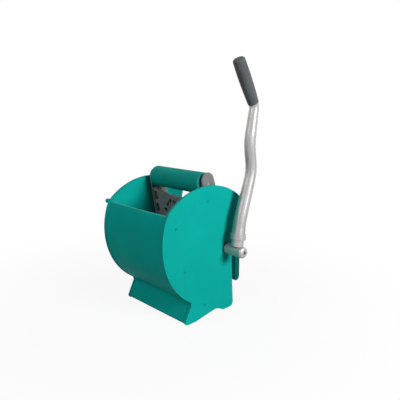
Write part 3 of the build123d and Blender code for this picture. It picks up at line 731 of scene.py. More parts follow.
@dataclass(frozen=True)
class SideOutline:
    """Side outline of plates and end walls: two arcs, the foot, the heel and the rear edge."""

    front_center: Point = (91.0, 219.0)
    front_radius: float = 188.0
    top_center: Point = (55.0, 161.0)
    top_radius: float = 191.5
    crease_height: float = 56.0
    toe: Point = (-30.0, 0.0)
    sole_half: float = 9.0
    notch_peak: Point = (87.0, 13.0)
    heel_start: Point = (114.0, 0.0)
    heel: Point = (153.8, 0.0)
    rear_waist: Point = (144.0, 150.0)
    rear_corner_y: float = 188.0
    lip_round: float = 60.0
    rear_corner_round: float = 26.0
    rear_waist_round: float = 90.0
    heel_round: float = 12.0
    notch_round: float = 30.0
    toe_round: float = 7.0
    crease_round: float = 10.0

    def lip_center(self) -> Point:
        """Return the center of the lip's arc."""
        return circles_meet(
            self.top_center, self.top_radius - self.lip_round,
            self.front_center, self.front_radius - self.lip_round,
        )

    def front_arcs(self) -> list[Arc]:
        """Return the arcs from the toe up to the lip."""
        rise = self.front_center[1] - self.crease_height
        crease = (self.front_center[0] - sqrt(self.front_radius**2 - rise**2), self.crease_height)
        way = Vector((crease[0] - self.toe[0], crease[1] - self.toe[1])).normalized()
        out = Vector((-way.y, way.x)) * self.crease_round
        shifted = (crease[0] + out.x, crease[1] + out.y)
        center = line_meets_circle(shifted, way, self.front_center, self.front_radius + self.crease_round)
        touch = toward(self.front_center, self.front_radius, center)
        foot = (center[0] - out.x, center[1] - out.y)
        lip_front = toward(self.front_center, self.front_radius, self.lip_center())
        return [
            corner((self.sole_half, 0.0), self.toe, crease, self.toe_round),
            arc_between(center, foot, touch, False),
            arc_between(self.front_center, touch, lip_front, True),
        ]

    def lip_arc(self) -> Arc:
        """Return the arc over the lip."""
        center = self.lip_center()
        start = toward(self.front_center, self.front_radius, center)
        end = toward(self.top_center, self.top_radius, center)
        return arc_between(center, start, end, True)

    def rear_arcs(self) -> list[Arc]:
        """Return the arcs from the lip over the top and down to the heel."""
        drop = self.rear_corner_y - self.top_center[0]
        rear = (self.rear_corner_y, self.top_center[1] + sqrt(self.top_radius**2 - drop**2))
        way = Vector((self.rear_waist[0] - rear[0], self.rear_waist[1] - rear[1])).normalized()
        into = Vector((way.y, -way.x)) * self.rear_corner_round
        shifted = (rear[0] + into.x, rear[1] + into.y)
        center = line_meets_circle(shifted, way, self.top_center, self.top_radius - self.rear_corner_round)
        touch = toward(self.top_center, self.top_radius, center)
        end = (center[0] - into.x, center[1] - into.y)
        return [
            arc_between(self.top_center, toward(self.top_center, self.top_radius, self.lip_center()), touch, True),
            arc_between(center, touch, end, True),
            corner(rear, self.rear_waist, self.heel, self.rear_waist_round),
            corner(self.rear_waist, self.heel, self.heel_start, self.heel_round),
        ]

    def notch_arc(self) -> Arc:
        """Return the arc at the peak of the notch between heel and foot."""
        return corner(self.heel_start, self.notch_peak, (self.sole_half, 0.0), self.notch_round)

    def plate(self) -> list[Point | Arc]:
        """Return the whole outline of a side plate."""
        toe, *front = self.front_arcs()
        return [
            *front, self.lip_arc(), *self.rear_arcs(), self.heel_start, self.notch_arc(),
            (self.sole_half, 0.0), toe,
        ]


OUTLINE = SideOutline()


@dataclass(frozen=True)
class SidePlates:
    """The two outer plates with their rounded rims, and the peg on the left one."""

    rim_round: float = 3.4
    peg_spigot: float = 3.0
    peg_radius: float = 6.5
    peg_length: float = 16.0
    peg_round: float = 2.5

    def build(self, maker: Maker) -> None:
        """Make both plates and the peg."""
        for side, name, node in ((1, "plate_right", "right_side_plate"), (-1, "plate_left", "left_side_plate")):
            draft = Draft(side_plane(side * LAYOUT.wall_x))
            edges = draft.trace(OUTLINE.plate())
            holes = LAYOUT.holes()
            if side < 0:
                holes.append((LAYOUT.peg_at, self.peg_spigot + LAYOUT.fit))
            for center, radius in holes:
                edges += draft.hole(center, radius)
            outer = draft.push(draft.fill(edges), side * LAYOUT.plate_thickness)
            outer_rim = [
                edge for edge in {e for face in outer for e in face.edges}
                if any(abs(face.normal.x) < 0.5 for face in edge.link_faces) and self.is_rim(edge)
            ]
            draft.soften(outer_rim, self.rim_round, 5)
            maker.place(draft, name, Slot.TEAL, Body.FRAME, node)
        self.build_peg(maker)

    @staticmethod
    def is_rim(edge: bmesh.types.BMEdge) -> bool:
        """Return whether an edge lies on the outline and not on a hole's edge."""
        middle = (edge.verts[0].co + edge.verts[1].co) / (2 * MM)
        spot = Vector((middle.y, middle.z))
        return all((spot - Vector(at)).length > radius + 0.5 for at, radius in (
            *LAYOUT.holes(), (LAYOUT.peg_at, SidePlates.peg_spigot + LAYOUT.fit)
        ))

    def build_peg(self, maker: Maker) -> None:
        """Make the peg on the left plate."""
        draft = Draft(axis_plane(LAYOUT.peg_at, -LAYOUT.plate_x))
        draft.turn(
            [
                (LAYOUT.plate_thickness, 0.0), (LAYOUT.plate_thickness, self.peg_spigot), (0.0, self.peg_spigot),
                (0.0, self.peg_radius), (-self.peg_length, self.peg_radius), (-self.peg_length, 0.0),
            ],
            False,
        )
        draft.soften(draft.rim(-self.peg_length, self.peg_radius), self.peg_round, 5)
        maker.place(draft, "peg_left", Slot.TEAL, Body.FRAME, "left_peg")


@dataclass(frozen=True)
class DrumBody:
    """The drum: a curved front wall with its foot and sole, moulded in one with two end walls."""

    inset: float = 1.5
    wall: float = 4.0
    lip_soft: float = 1.4

    def build(self, maker: Maker) -> None:
        """Make the drum as one closed shell."""
        draft = Draft(side_plane(-LAYOUT.wall_x))
        wall, rest = self.loops()
        for face in draft.fill(draft.trace(wall)):
            face.material_index = 1
        edges = draft.trace(rest)
        for center, radius in LAYOUT.holes():
            edges += draft.hole(center, radius)
        draft.fill(edges)
        through(draft, LAYOUT.end_wall, LAYOUT.inner_x)
        lip = [e for e in draft.sharp() if self.on_lip(e)]
        draft.soften(lip, self.lip_soft, 3)
        maker.place(draft, "drum_shell", Slot.TEAL, Body.FRAME, "drum_body", "right_end_wall", "left_end_wall")

    def on_lip(self, edge: bmesh.types.BMEdge) -> bool:
        """Return whether an edge runs along X at the front wall's top."""
        start, end = (vert.co for vert in edge.verts)
        level = abs(start.y - end.y) < TINY and abs(start.z - end.z) < TINY
        return level and start.z > OUTLINE.front_center[1] * MM and start.y < 0

    def loops(self) -> tuple[list[Point | Arc], list[Point | Arc]]:
        """Return the outlines of the front wall's section and of the rest of an end wall."""
        deep = self.inset + self.wall
        half = OUTLINE.sole_half
        lip = OUTLINE.lip_arc()
        middle = lip.point(0.5)
        way = Vector((middle[0] - OUTLINE.front_center[0], middle[1] - OUTLINE.front_center[1])).normalized()
        outer_lip, inner_lip = lip.inset(self.inset), lip.inset(deep)
        outer_cut = outer_lip.share(line_meets_circle(middle, way, lip.center, outer_lip.radius))
        inner_cut = inner_lip.share(line_meets_circle(middle, way, lip.center, inner_lip.radius))
        outer = [arc.inset(self.inset) for arc in OUTLINE.front_arcs()] + [outer_lip.part(0, outer_cut)]
        inner = [arc.inset(deep) for arc in OUTLINE.front_arcs()] + [inner_lip.part(0, inner_cut)]
        slope = OUTLINE.notch_peak[1] / (OUTLINE.notch_peak[0] - half)
        rise = sqrt(1 + slope**2)
        low, high = (half, self.inset * rise), (half, deep * rise)
        back = [arc.back() for arc in reversed(inner)]
        wall = [(half, 0.0), (-half, 0.0), (-half, self.inset), *outer, *back, high, low]
        start, peak = Vector(OUTLINE.heel_start), Vector(OUTLINE.notch_peak)
        way = (peak - start).normalized()
        normal = Vector((way.y, -way.x))
        heel = start + (normal + Vector((0, 1))) * self.inset / (1 + normal.y)
        rest = [
            low, high, *inner, outer_lip.part(outer_cut, 1),
            *(arc.inset(self.inset) for arc in OUTLINE.rear_arcs()), tuple(heel),
            OUTLINE.notch_arc().inset(self.inset),
        ]
        return wall, rest


def through(draft: Draft, thick: float, half: float) -> None:
    """Make a symmetrical shell from an end section.

    Args:
        draft: the section drawn at its -X end, with the faces that run right through marked 1.
        thick: thickness of the end walls.
        half: half the width between them.
    """
    bmesh.ops.remove_doubles(draft.mesh, verts=draft.mesh.verts, dist=TINY)
    ends = draft.push(list(draft.mesh.faces), thick)
    middle = draft.push([face for face in ends if face.material_index == 1], half)
    bmesh.ops.delete(draft.mesh, geom=middle, context="FACES_ONLY")
    draft.mirror()


@dataclass(frozen=True)
class RearCover:
    """The ribbed panel that hangs behind the drum, with a tab at each side."""

    front_y: float = 174.0
    depth: float = 16.0
    wall: float = 4.0
    bottom: float = 64.0
    top: float = 262.0
    heel_round: float = 12.0
    toe_round: float = 3.0
    rib: float = 3.0
    rib_heights: tuple[float, ...] = (108.0, 166.0, 224.0)
    tab_front_y: float = 150.0
    tab_bottom: float = 205.0
    soft: float = 0.6

    def build(self, maker: Maker) -> None:
        """Make the cover as one closed shell."""
        draft = Draft(side_plane(-LAYOUT.inner_x))
        rear, floor_y = self.front_y + self.depth, self.front_y + self.wall
        floors = [self.bottom + self.wall, *(height + self.rib for height in self.rib_heights)]
        roofs = [*self.rib_heights, self.top - self.wall]
        heel = Arc((rear - self.heel_round, self.bottom + self.heel_round), self.heel_round, 0.0, -pi / 2)
        drop = floors[0] - heel.center[1]
        cut = heel.share((heel.center[0] + sqrt(self.heel_round**2 - drop**2), floors[0]))
        toe = Arc((self.front_y + self.toe_round, self.bottom + self.toe_round), self.toe_round, -pi / 2, -pi / 2)
        comb: list[Point | Arc] = [(self.front_y, self.tab_bottom), (self.front_y, self.top), (rear, self.top)]
        for place in reversed(range(len(floors))):
            comb += [(rear, roofs[place]), (floor_y, roofs[place]), (floor_y, floors[place])]
            if place:
                comb.append((rear, floors[place]))
        comb += [heel.part(cut, 1), toe]
        for face in draft.fill(draft.trace(comb)):
            face.material_index = 1
        for place, (floor, roof) in enumerate(zip(floors, roofs)):
            lower = (rear, floor) if place else heel.part(0, cut).back()
            draft.fill(draft.trace([(floor_y, floor), lower, (rear, roof), (floor_y, roof)]))
        tab = draft.trace([
            (self.tab_front_y, self.tab_bottom), (self.front_y, self.tab_bottom), (self.front_y, self.top),
            (self.tab_front_y, self.top),
        ])
        for at in LAYOUT.cover_screws:
            tab += draft.hole(at, LAYOUT.screw_shank + LAYOUT.fit, 16)
        draft.fill(tab)
        through(draft, self.wall, LAYOUT.inner_x - self.wall)
        draft.soften(draft.sharp(radians(60)), self.soft, 2)
        # The cover takes the darker teal, which is painted shade.
        maker.place(draft, "cover_panel", Slot.DARK_TEAL, Body.FRAME, "rear_cover")


@dataclass(frozen=True)
class Turning:
    """A turned piece along X: its section as (x, radius) points, and how much its edges are rounded."""

    name: str
    node: str
    slot: Slot
    body: Body
    at: Point
    section: tuple[Point, ...]
    bored: bool
    soft: float = 0.5

    def build(self, maker: Maker) -> None:
        """Make the piece."""
        draft = Draft(axis_plane(self.at))
        draft.turn(self.section, self.bored)
        draft.soften(draft.sharp(), self.soft)
        maker.place(draft, self.name, self.slot, self.body, self.node)


def tube(x_from: float, x_to: float, outer: float, inner: float) -> tuple[Point, ...]:
    """Return the section of a plain tube along X."""
    return ((x_from, inner), (x_from, outer), (x_to, outer), (x_to, inner))


def bar(x_from: float, x_to: float, radius: float) -> tuple[Point, ...]:
    """Return the section of a plain round bar along X."""
    return ((x_from, 0.0), (x_from, radius), (x_to, radius), (x_to, 0.0))


@dataclass(frozen=True)
class ShaftAndBars:
    """The cross shaft with its bushes and left washer, the tie bar, and the stop bar with its sleeves."""

    flange_radius: float = 16.0
    flange: float = 3.0
    shaft_end_x: float = 178.0
    shaft_overhang: float = 9.0
    washer_radius: float = 16.0
    washer_gap: float = 0.3
    washer: float = 1.7
    clip: float = 1.5
    clip_depth: float = 1.0
    bar_radius: float = 7.0
    sleeve_radius: float = 9.0
    sleeve_ends: Point = (100.0, 111.0)

    def build(self, maker: Maker) -> None:
        """Make every turned piece."""
        for turning in (*self.bushes(), *self.shaft(), *self.bars()):
            turning.build(maker)

    def bushes(self) -> list[Turning]:
        """Return the two flanged bushes."""
        bore = LAYOUT.shaft_radius + LAYOUT.fit
        made = []
        for side, name in ((1, "right"), (-1, "left")):
            face, lip, inner = (side * x for x in (
                LAYOUT.plate_x, LAYOUT.plate_x + self.flange, LAYOUT.inner_x
            ))
            section = (
                (inner, bore), (inner, LAYOUT.bush_radius), (face, LAYOUT.bush_radius),
                (face, self.flange_radius), (lip, self.flange_radius), (lip, bore),
            )
            node = f"{name}_shaft_bush"
            made.append(
                Turning(f"bush_{name}", node, Slot.BEARING, Body.FRAME, LAYOUT.pivot, section, True, 0.6)
            )
        return made

    def shaft(self) -> list[Turning]:
        """Return the cross shaft, with the groove for its clip, and its washer."""
        left = -LAYOUT.plate_x - self.shaft_overhang
        washer_x = -LAYOUT.plate_x - self.flange - self.washer_gap
        groove_end = washer_x - self.washer + LAYOUT.fit
        groove_start = groove_end - self.clip - 2 * LAYOUT.fit
        radius, deep = LAYOUT.shaft_radius, LAYOUT.shaft_radius - self.clip_depth
        section = (
            (left, 0.0), (left, radius), (groove_start, radius), (groove_start, deep), (groove_end, deep),
            (groove_end, radius), (self.shaft_end_x, radius), (self.shaft_end_x, 0.0),
        )
        ring = tube(washer_x - self.washer, washer_x, self.washer_radius, radius + LAYOUT.fit)
        return [
            Turning("shaft_bar", "cross_shaft", Slot.STEEL, Body.CARRIAGE, LAYOUT.pivot, section, False, 0.3),
            Turning("washer_left", "shaft_washer", Slot.STEEL, Body.CARRIAGE, LAYOUT.pivot, ring, True, 0.3),
        ]

    def bars(self) -> list[Turning]:
        """Return the tie bar, the stop bar and the stop's two sleeves."""
        rod = bar(-LAYOUT.inner_x, LAYOUT.inner_x, self.bar_radius)
        # The tie bar and the stop rod take the darker spring-steel finish so that what shows through the web's slots
        # stays dark: painted shade.
        made = [
            Turning("tie_bar", "lower_tie_bar", Slot.SPRING, Body.FRAME, LAYOUT.tie_bar_at, rod, False, 0.4),
            Turning("stop_rod", "stop_bar", Slot.SPRING, Body.FRAME, LAYOUT.stop_at, rod, False, 0.4),
        ]
        for side, name in ((1, "right"), (-1, "left")):
            ends = (side * end for end in self.sleeve_ends)
            ring = tube(*ends, self.sleeve_radius, self.bar_radius + LAYOUT.fit)
            made.append(
                Turning(f"stop_ring_{name}", "stop_sleeves", Slot.BLACK, Body.FRAME, LAYOUT.stop_at, ring, True, 0.7)
            )
        return made


@dataclass(frozen=True)
class Roller:
    """The roller: a thick sleeve on a core, with an end ring and a bearing at each end, and its axle."""

    half: float = 98.0
    cap: float = 2.5
    radius: float = 28.6
    core_outer: float = 20.0
    core_inner: float = 16.0
    cap_radius: float = 27.6
    spigot: float = 12.0
    bush_radius: float = 8.0
    axle_radius: float = 5.0
    axle_ends: Point = (-103.0, 109.5)
    spacer_radius: float = 20.0
    spacer_gap: float = 0.2
    sleeve_soft: float = 2.2

    def build(self, maker: Maker) -> None:
        """Make the roller's pieces about its axle."""
        at = LAYOUT.carrier(LAYOUT.arm_length, 0.0)
        end = self.half - self.cap
        fit = LAYOUT.fit
        sleeve = tube(-end, end, self.radius, self.core_outer + fit)
        core = tube(-end, end, self.core_outer, self.core_inner)
        spacer = tube(self.half + self.spacer_gap, LAYOUT.right_arm_x, self.spacer_radius, self.axle_radius + fit)
        made = [
            Turning("roller_cover", "roller_sleeve", Slot.ROLLER, Body.ROLLER, at, sleeve, True, self.sleeve_soft),
            Turning("roller_tube", "roller_core", Slot.GREY, Body.ROLLER, at, core, True, 0.4),
            Turning(
                "axle_bar", "roller_axle", Slot.STEEL, Body.CARRIAGE, at,
                bar(*self.axle_ends, self.axle_radius), False, 0.8,
            ),
            Turning("spacer_ring", "axle_spacer", Slot.BEARING, Body.CARRIAGE, at, spacer, True, 0.5),
        ]
        for side, name in ((1, "right"), (-1, "left")):
            inner, step, outer = (side * x for x in (end - self.spigot, end, self.half))
            ring = (
                (inner, self.bush_radius + fit), (inner, self.core_inner - fit), (step, self.core_inner - fit),
                (step, self.cap_radius), (outer, self.cap_radius), (outer, self.bush_radius + fit),
            )
            bush = tube(inner, outer, self.bush_radius, self.axle_radius + fit)
            node = f"roller_{name}_cap"
            made += [
                Turning(f"roller_end_{name}", node, Slot.TEAL, Body.ROLLER, at, ring, True, 0.7),
                Turning(f"bearing_{name}", "roller_bushes", Slot.BEARING, Body.ROLLER, at, bush, True, 0.4),
            ]
        for turning in made:
            turning.build(maker)


@dataclass(frozen=True)
class RollerYoke:
    """The forked carrier: two arms, a web with slots, the hub round the shaft and the spring's lug."""

    pivot_radius: float = 20.5
    knee: Point = (10.0, 22.0)
    knee_radius: float = 22.0
    end_radius: float = 23.5
    waist: Point = (150.0, 23.0)
    tip: Point = (196.5, 20.5)
    axle_radius: float = 5.0
    web_lean: float = radians(10.2295)
    web_front: float = 42.509
    web_thickness: float = 9.5
    web_foot: float = 10.0
    web_top: float = 153.5
    web_dip: float = 14.0
    side_slot: Point = (12.0, 25.0)
    side_slot_inset: float = 9.0
    side_slot_drops: tuple[float, ...] = (21.5, 59.0)
    slant_slot: Point = (32.0, 9.0)
    slant_at: Point = (40.85, 117.0)
    slant_angle: float = radians(44.5)
    inner_slot: Point = (24.0, 9.0)
    inner_at: Point = (12.75, 118.0)
    small_hole: Point = (12.0, 9.0)
    small_at: Point = (59.5, 94.5)
    hub_radius: float = 19.0
    hub_left_x: float = -64.0
    lug_radius: float = 4.0
    lug_at: Point = (38.0, 7.15)
    lug_length: float = 12.0
    arm_soft: float = 1.1
    web_soft: float = 0.9

    def build(self, maker: Maker) -> None:
        """Make the arms, the web, the hub and the lug."""
        end = (LAYOUT.arm_length, self.end_radius)
        self.build_arm(maker, "yoke_arm_right", LAYOUT.right_arm_x, self.waist, self.tip)
        self.build_arm(maker, "yoke_arm_left", LAYOUT.left_arm_x - LAYOUT.arm_thickness, end)
        self.build_web(maker)
        bore = LAYOUT.shaft_radius + LAYOUT.fit
        hub = tube(self.hub_left_x, LAYOUT.right_arm_x, self.hub_radius, bore)
        lug = bar(LAYOUT.left_arm_x, LAYOUT.left_arm_x + self.lug_length, self.lug_radius)
        lug_at = LAYOUT.carrier(*self.lug_at)
        for turning in (
            Turning("yoke_hub", "roller_yoke", Slot.GREY, Body.CARRIAGE, LAYOUT.pivot, hub, True, 1.0),
            Turning("yoke_lug", "roller_yoke", Slot.GREY, Body.CARRIAGE, lug_at, lug, False, 0.6),
        ):
            turning.build(maker)

    def build_arm(self, maker: Maker, name: str, x: float, *ends: Point) -> None:
        """Make an arm.

        Args:
            maker: the maker.
            name: the piece's name.
            x: the arm's lower X.
            ends: the circles beyond the pivot, as places along the arm and radii.
        """
        draft = Draft(work_plane((x, *LAYOUT.pivot), LAYOUT.along, LAYOUT.forward))
        circles = [((along, 0.0), radius) for along, radius in ((0.0, self.pivot_radius), *ends)]
        edges = draft.trace(hull((*circles, (self.knee, self.knee_radius))))
        edges += draft.hole((0.0, 0.0), LAYOUT.shaft_radius + LAYOUT.fit)
        edges += draft.hole((LAYOUT.arm_length, 0.0), self.axle_radius + LAYOUT.fit)
        draft.push(draft.fill(edges), LAYOUT.arm_thickness)
        draft.soften(draft.sharp(), self.arm_soft)
        maker.place(draft, name, Slot.GREY, Body.CARRIAGE, "roller_yoke")

    def build_web(self, maker: Maker) -> None:
        """Make the web with its slots and holes."""
        out = Vector((0.0, -cos(self.web_lean), -sin(self.web_lean)))
        start = Vector((0.0, *LAYOUT.pivot)) + out * (self.web_front - self.web_thickness)
        draft = Draft(work_plane(tuple(start), (1, 0, 0), (0, out.z, -out.y)))
        left, right = LAYOUT.left_arm_x, LAYOUT.right_arm_x
        middle, half = (left + right) / 2, (right - left) / 2
        rise = (half**2 + self.web_dip**2) / (2 * self.web_dip)
        center = (middle, self.web_top - self.web_dip + rise)
        edges = draft.trace([
            (left, self.web_foot), (right, self.web_foot),
            arc_between(center, (right, self.web_top), (left, self.web_top), True),
        ])
        for side in (-1, 1):
            for drop in self.side_slot_drops:
                slot_at = (middle + side * (half - self.side_slot_inset), self.web_top - drop)
                edges += draft.trace(self.box(slot_at, *self.side_slot))
            small_at = (middle + side * self.small_at[0], self.small_at[1])
            edges += draft.trace(self.box(small_at, *self.small_hole))
            slant_at = (middle + side * self.slant_at[0], self.slant_at[1])
            edges += draft.trace(self.long_hole(slant_at, -side * self.slant_angle, *self.slant_slot))
            inner_at = (middle + side * self.inner_at[0], self.inner_at[1])
            edges += draft.trace(self.long_hole(inner_at, side * self.slant_angle, *self.inner_slot))
        draft.push(draft.fill(edges), self.web_thickness)
        draft.soften(draft.sharp(), self.web_soft)
        maker.place(draft, "yoke_web", Slot.GREY, Body.CARRIAGE, "roller_yoke")

    @staticmethod
    def box(at: Point, width: float, height: float) -> list[Point]:
        """Return the corners of an upright oblong about a point."""
        return [
            (at[0] + u * width / 2, at[1] + v * height / 2) for u, v in ((-1, -1), (1, -1), (1, 1), (-1, 1))
        ]

    @staticmethod
    def long_hole(at: Point, angle: float, length: float, width: float) -> list[Arc]:
        """Return the two round ends of a slot that slants by an angle."""
        reach = (length - width) / 2
        ends = ((at[0] + s * reach * cos(angle), at[1] + s * reach * sin(angle)) for s in (1, -1))
        starts = (angle - pi / 2, angle + pi / 2)
        return [Arc(end, width / 2, turn, pi) for end, turn in zip(ends, starts)]


@dataclass(frozen=True)
class HandLever:
    """The bent tube lever with its grip, collar, hub and cap screw."""

    x: float = 160.0
    hub_start_x: float = 128.5
    hub_end_x: float = 178.0
    hub_radius: float = 15.0
    neck_radius: float = 16.8
    neck_start: float = 12.5
    neck_end: float = 31.0
    spigot_radius: float = 12.0
    spigot_end: float = 62.0
    collar_radius: float = 20.7
    collar_end: float = 46.0
    groove_depth: float = 0.8
    groove_width: float = 2.0
    grooves: tuple[float, ...] = (35.0, 40.5)
    corners: tuple[Point, ...] = ((137.5, 258.0), (179.5, 384.0), (168.0, 455.0), (184.1, 548.4))
    bends: tuple[float, ...] = (250.0, 100.0, 130.0, 21.0)
    radii: tuple[float, ...] = (19.5, 16.4, 14.9, 15.0, 12.77)
    bore: float = 9.0
    grip_start: float = 8.0
    grip_length: float = 122.0
    grip_lean: float = radians(30.2)
    grip_radii: tuple[float, ...] = (14.3, 16.6, 15.6)
    grip_swell_at: float = 64.0
    grip_foot_round: float = 1.0
    grip_round: float = 6.0
    grip_wall: float = 5.0
    cap_radius: float = 15.5
    cap_rim: float = 3.0
    cap_height: float = 10.5
    cap_flat: float = 9.0
    socket_radius: float = 5.5
    socket_depth: float = 6.0
    cap_shank: float = 5.0
    cap_shank_length: float = 24.0
    ring_steps: int = 56
    step: float = 6.0

    def build(self, maker: Maker) -> None:
        """Make the lever's pieces."""
        self.build_tube(maker)
        self.build_grip(maker)
        self.build_hub(maker)
        self.build_collar(maker)
        self.build_cap(maker)

    @property
    def foot_way(self) -> Vector:
        """Return the way the lever leaves its hub, as (y, z)."""
        first = self.corners[0]
        return Vector((first[0] - LAYOUT.pivot[0], first[1] - LAYOUT.pivot[1])).normalized()

    @property
    def grip_way(self) -> Vector:
        """Return the way the grip points, as (y, z)."""
        return Vector((-sin(self.grip_lean), cos(self.grip_lean)))

    def axis(self, start: Point, way: Vector) -> Matrix:
        """Return a work plane in the lever's plane, with a way across it."""
        return work_plane((self.x, *start), (0, *way), (1, 0, 0))

    def stations(self) -> list[tuple[Matrix, Vector, float, float]]:
        """Return the rings along the tube.

        Returns:
            For each ring after the first: the move from the one before it, its middle, its share of the
            outer radius's path as a radius, and how far along the tube it lies, in millimetres.
        """
        first = Vector(LAYOUT.pivot) + self.foot_way * self.neck_end
        reach = self.grip_start + self.grip_length - self.grip_wall
        last = Vector(self.corners[-1]) + self.grip_way * reach
        points = [first, *(Vector(point) for point in self.corners), last]
        made: list[tuple[Matrix, Vector, float, float]] = []
        spot, run = first, 0.0
        for place, radius in enumerate(self.bends):
            arc = corner(*(tuple(point) for point in points[place:place + 3]), radius)
            tangent = Vector(arc.point(0))
            before, after = self.radii[place:place + 2]
            run = self.straight(made, spot, tangent, (before, after), run)
            steps = max(4, ceil(abs(arc.sweep) * arc.radius / self.step))
            center = Vector((self.x, *arc.center)) * MM
            for number in range(1, steps + 1):
                spin = Matrix.Rotation(arc.sweep / steps, 4, "X")
                move = Matrix.Translation(center) @ spin @ Matrix.Translation(-center)
                run += abs(arc.sweep) * arc.radius / steps
                made.append((move, Vector((self.x, *arc.point(number / steps))) * MM, after, run))
            spot = Vector(arc.point(1))
        self.straight(made, spot, last, (self.radii[-1], self.radii[-1]), run)
        return made

    def straight(self, made: list, start: Vector, end: Vector, radii: Point, run: float) -> float:
        """Add the rings of a straight length and return how far along the tube it ends."""
        length = (end - start).length
        steps = max(2, ceil(length / self.step))
        move = Matrix.Translation(Vector((0.0, *((end - start) / steps))) * MM)
        for number in range(1, steps + 1):
            share = number / steps
            middle = Vector((self.x, *(start + (end - start) * share))) * MM
            made.append((move, middle, radii[0] + (radii[1] - radii[0]) * share, run + length * share))
        return run + length

    def build_tube(self, maker: Maker) -> None:
        """Make the tube: an outer and an inner skin swept along the bends and joined at both ends."""
        foot = Vector(LAYOUT.pivot) + self.foot_way * self.neck_end
        draft = Draft(work_plane((self.x, *foot), (1, 0, 0), (0, -self.foot_way.y, self.foot_way.x)))
        grain = draft.mesh.verts.layers.float_vector.new("grain")
        ends: list[Edges] = []
        counterbore = self.spigot_end - self.neck_end + 1.0
        for inner in (False, True):
            radius = self.spigot_radius + LAYOUT.fit if inner else self.radii[0]
            ring = draft.hole((0.0, 0.0), radius, self.ring_steps)
            middle = draft.at((0.0, 0.0))
            for vert in {vert for edge in ring for vert in edge.verts}:
                vert[grain] = (*((vert.co - middle).normalized().xy * self.radii[0] * MM), 0.0)
            ends.append(ring)
            for move, middle, outer, run in self.stations():
                target = outer if not inner else (radius if run < counterbore else self.bore)
                made = bmesh.ops.extrude_edge_only(draft.mesh, edges=ring)["geom"]
                verts = [g for g in made if isinstance(g, bmesh.types.BMVert)]
                ring = [g for g in made if isinstance(g, bmesh.types.BMEdge)]
                ring = [edge for edge in ring if all(vert in set(verts) for vert in edge.verts)]
                bmesh.ops.transform(draft.mesh, matrix=move, verts=verts)
                now = (verts[0].co - middle).length
                bmesh.ops.scale(
                    draft.mesh, vec=Vector((1, 1, 1)) * (target * MM / now),
                    space=Matrix.Translation(-middle), verts=verts,
                )
                for vert in verts:
                    vert[grain] = (vert[grain].x, vert[grain].y, run * MM * 0.03)
            ends.append(ring)
        for outer_ring, inner_ring in ((ends[0], ends[2]), (ends[1], ends[3])):
            bmesh.ops.bridge_loops(draft.mesh, edges=outer_ring + inner_ring)
        maker.place(draft, "lever_bar", Slot.TUBE, Body.CARRIAGE, "lever_tube")

    def build_grip(self, maker: Maker) -> None:
        """Make the grip, with its flared lower end and its rounded top."""
        draft = Draft(self.axis(self.corners[-1], self.grip_way))
        start, end = self.grip_start, self.grip_start + self.grip_length
        bore = self.radii[-1] + LAYOUT.fit
        foot, swell, top = self.grip_radii
        side = arc_through((start, foot), (start + self.grip_swell_at, swell), (end, top))
        draft.turn(
            [
                (end - self.grip_wall, 0.0), (end - self.grip_wall, bore), (start, bore), side, (end, 0.0),
            ],
            False,
        )
        draft.soften(draft.rim(end, top), self.grip_round, 6)
        draft.soften(draft.rim(start, foot), self.grip_foot_round)
        maker.place(draft, "lever_handle", Slot.GRIP, Body.CARRIAGE, "lever_grip")

    def build_hub(self, maker: Maker) -> None:
        """Make the hub's barrel on the shaft and the neck that the tube stands on."""
        barrel = tube(self.hub_start_x, self.hub_end_x, self.hub_radius, LAYOUT.shaft_radius + LAYOUT.fit)
        Turning("hub_barrel", "lever_hub", Slot.CAST, Body.CARRIAGE, LAYOUT.pivot, barrel, True, 1.0).build(maker)
        draft = Draft(self.axis(LAYOUT.pivot, self.foot_way))
        draft.turn(
            [
                (self.neck_start, 0.0), (self.neck_start, self.neck_radius), (self.neck_end, self.neck_radius),
                (self.neck_end, self.spigot_radius), (self.spigot_end, self.spigot_radius), (self.spigot_end, 0.0),
            ],
            False,
        )
        draft.soften(draft.sharp(), 0.8)
        maker.place(draft, "hub_neck", Slot.CAST, Body.CARRIAGE, "lever_hub")

    def build_collar(self, maker: Maker) -> None:
        """Make the grooved collar round the tube's foot."""
        draft = Draft(self.axis(LAYOUT.pivot, self.foot_way))
        deep = self.collar_radius - self.groove_depth
        run = self.stations()[0][3]
        bore, next_bore = self.radii[0] + LAYOUT.fit, self.stations()[0][2] + LAYOUT.fit
        top_bore = bore - (bore - next_bore) / run * (self.collar_end - self.neck_end)
        section: list[Point] = [(self.neck_end, bore), (self.neck_end, self.collar_radius)]
        for start in self.grooves:
            end = start + self.groove_width
            section += [(start, self.collar_radius), (start, deep), (end, deep), (end, self.collar_radius)]
        section += [(self.collar_end, self.collar_radius), (self.collar_end, top_bore)]
        draft.turn(section, True)
        draft.soften(draft.sharp(), 0.3, 2)
        maker.place(draft, "lever_ferrule", Slot.CAST, Body.CARRIAGE, "lever_collar")

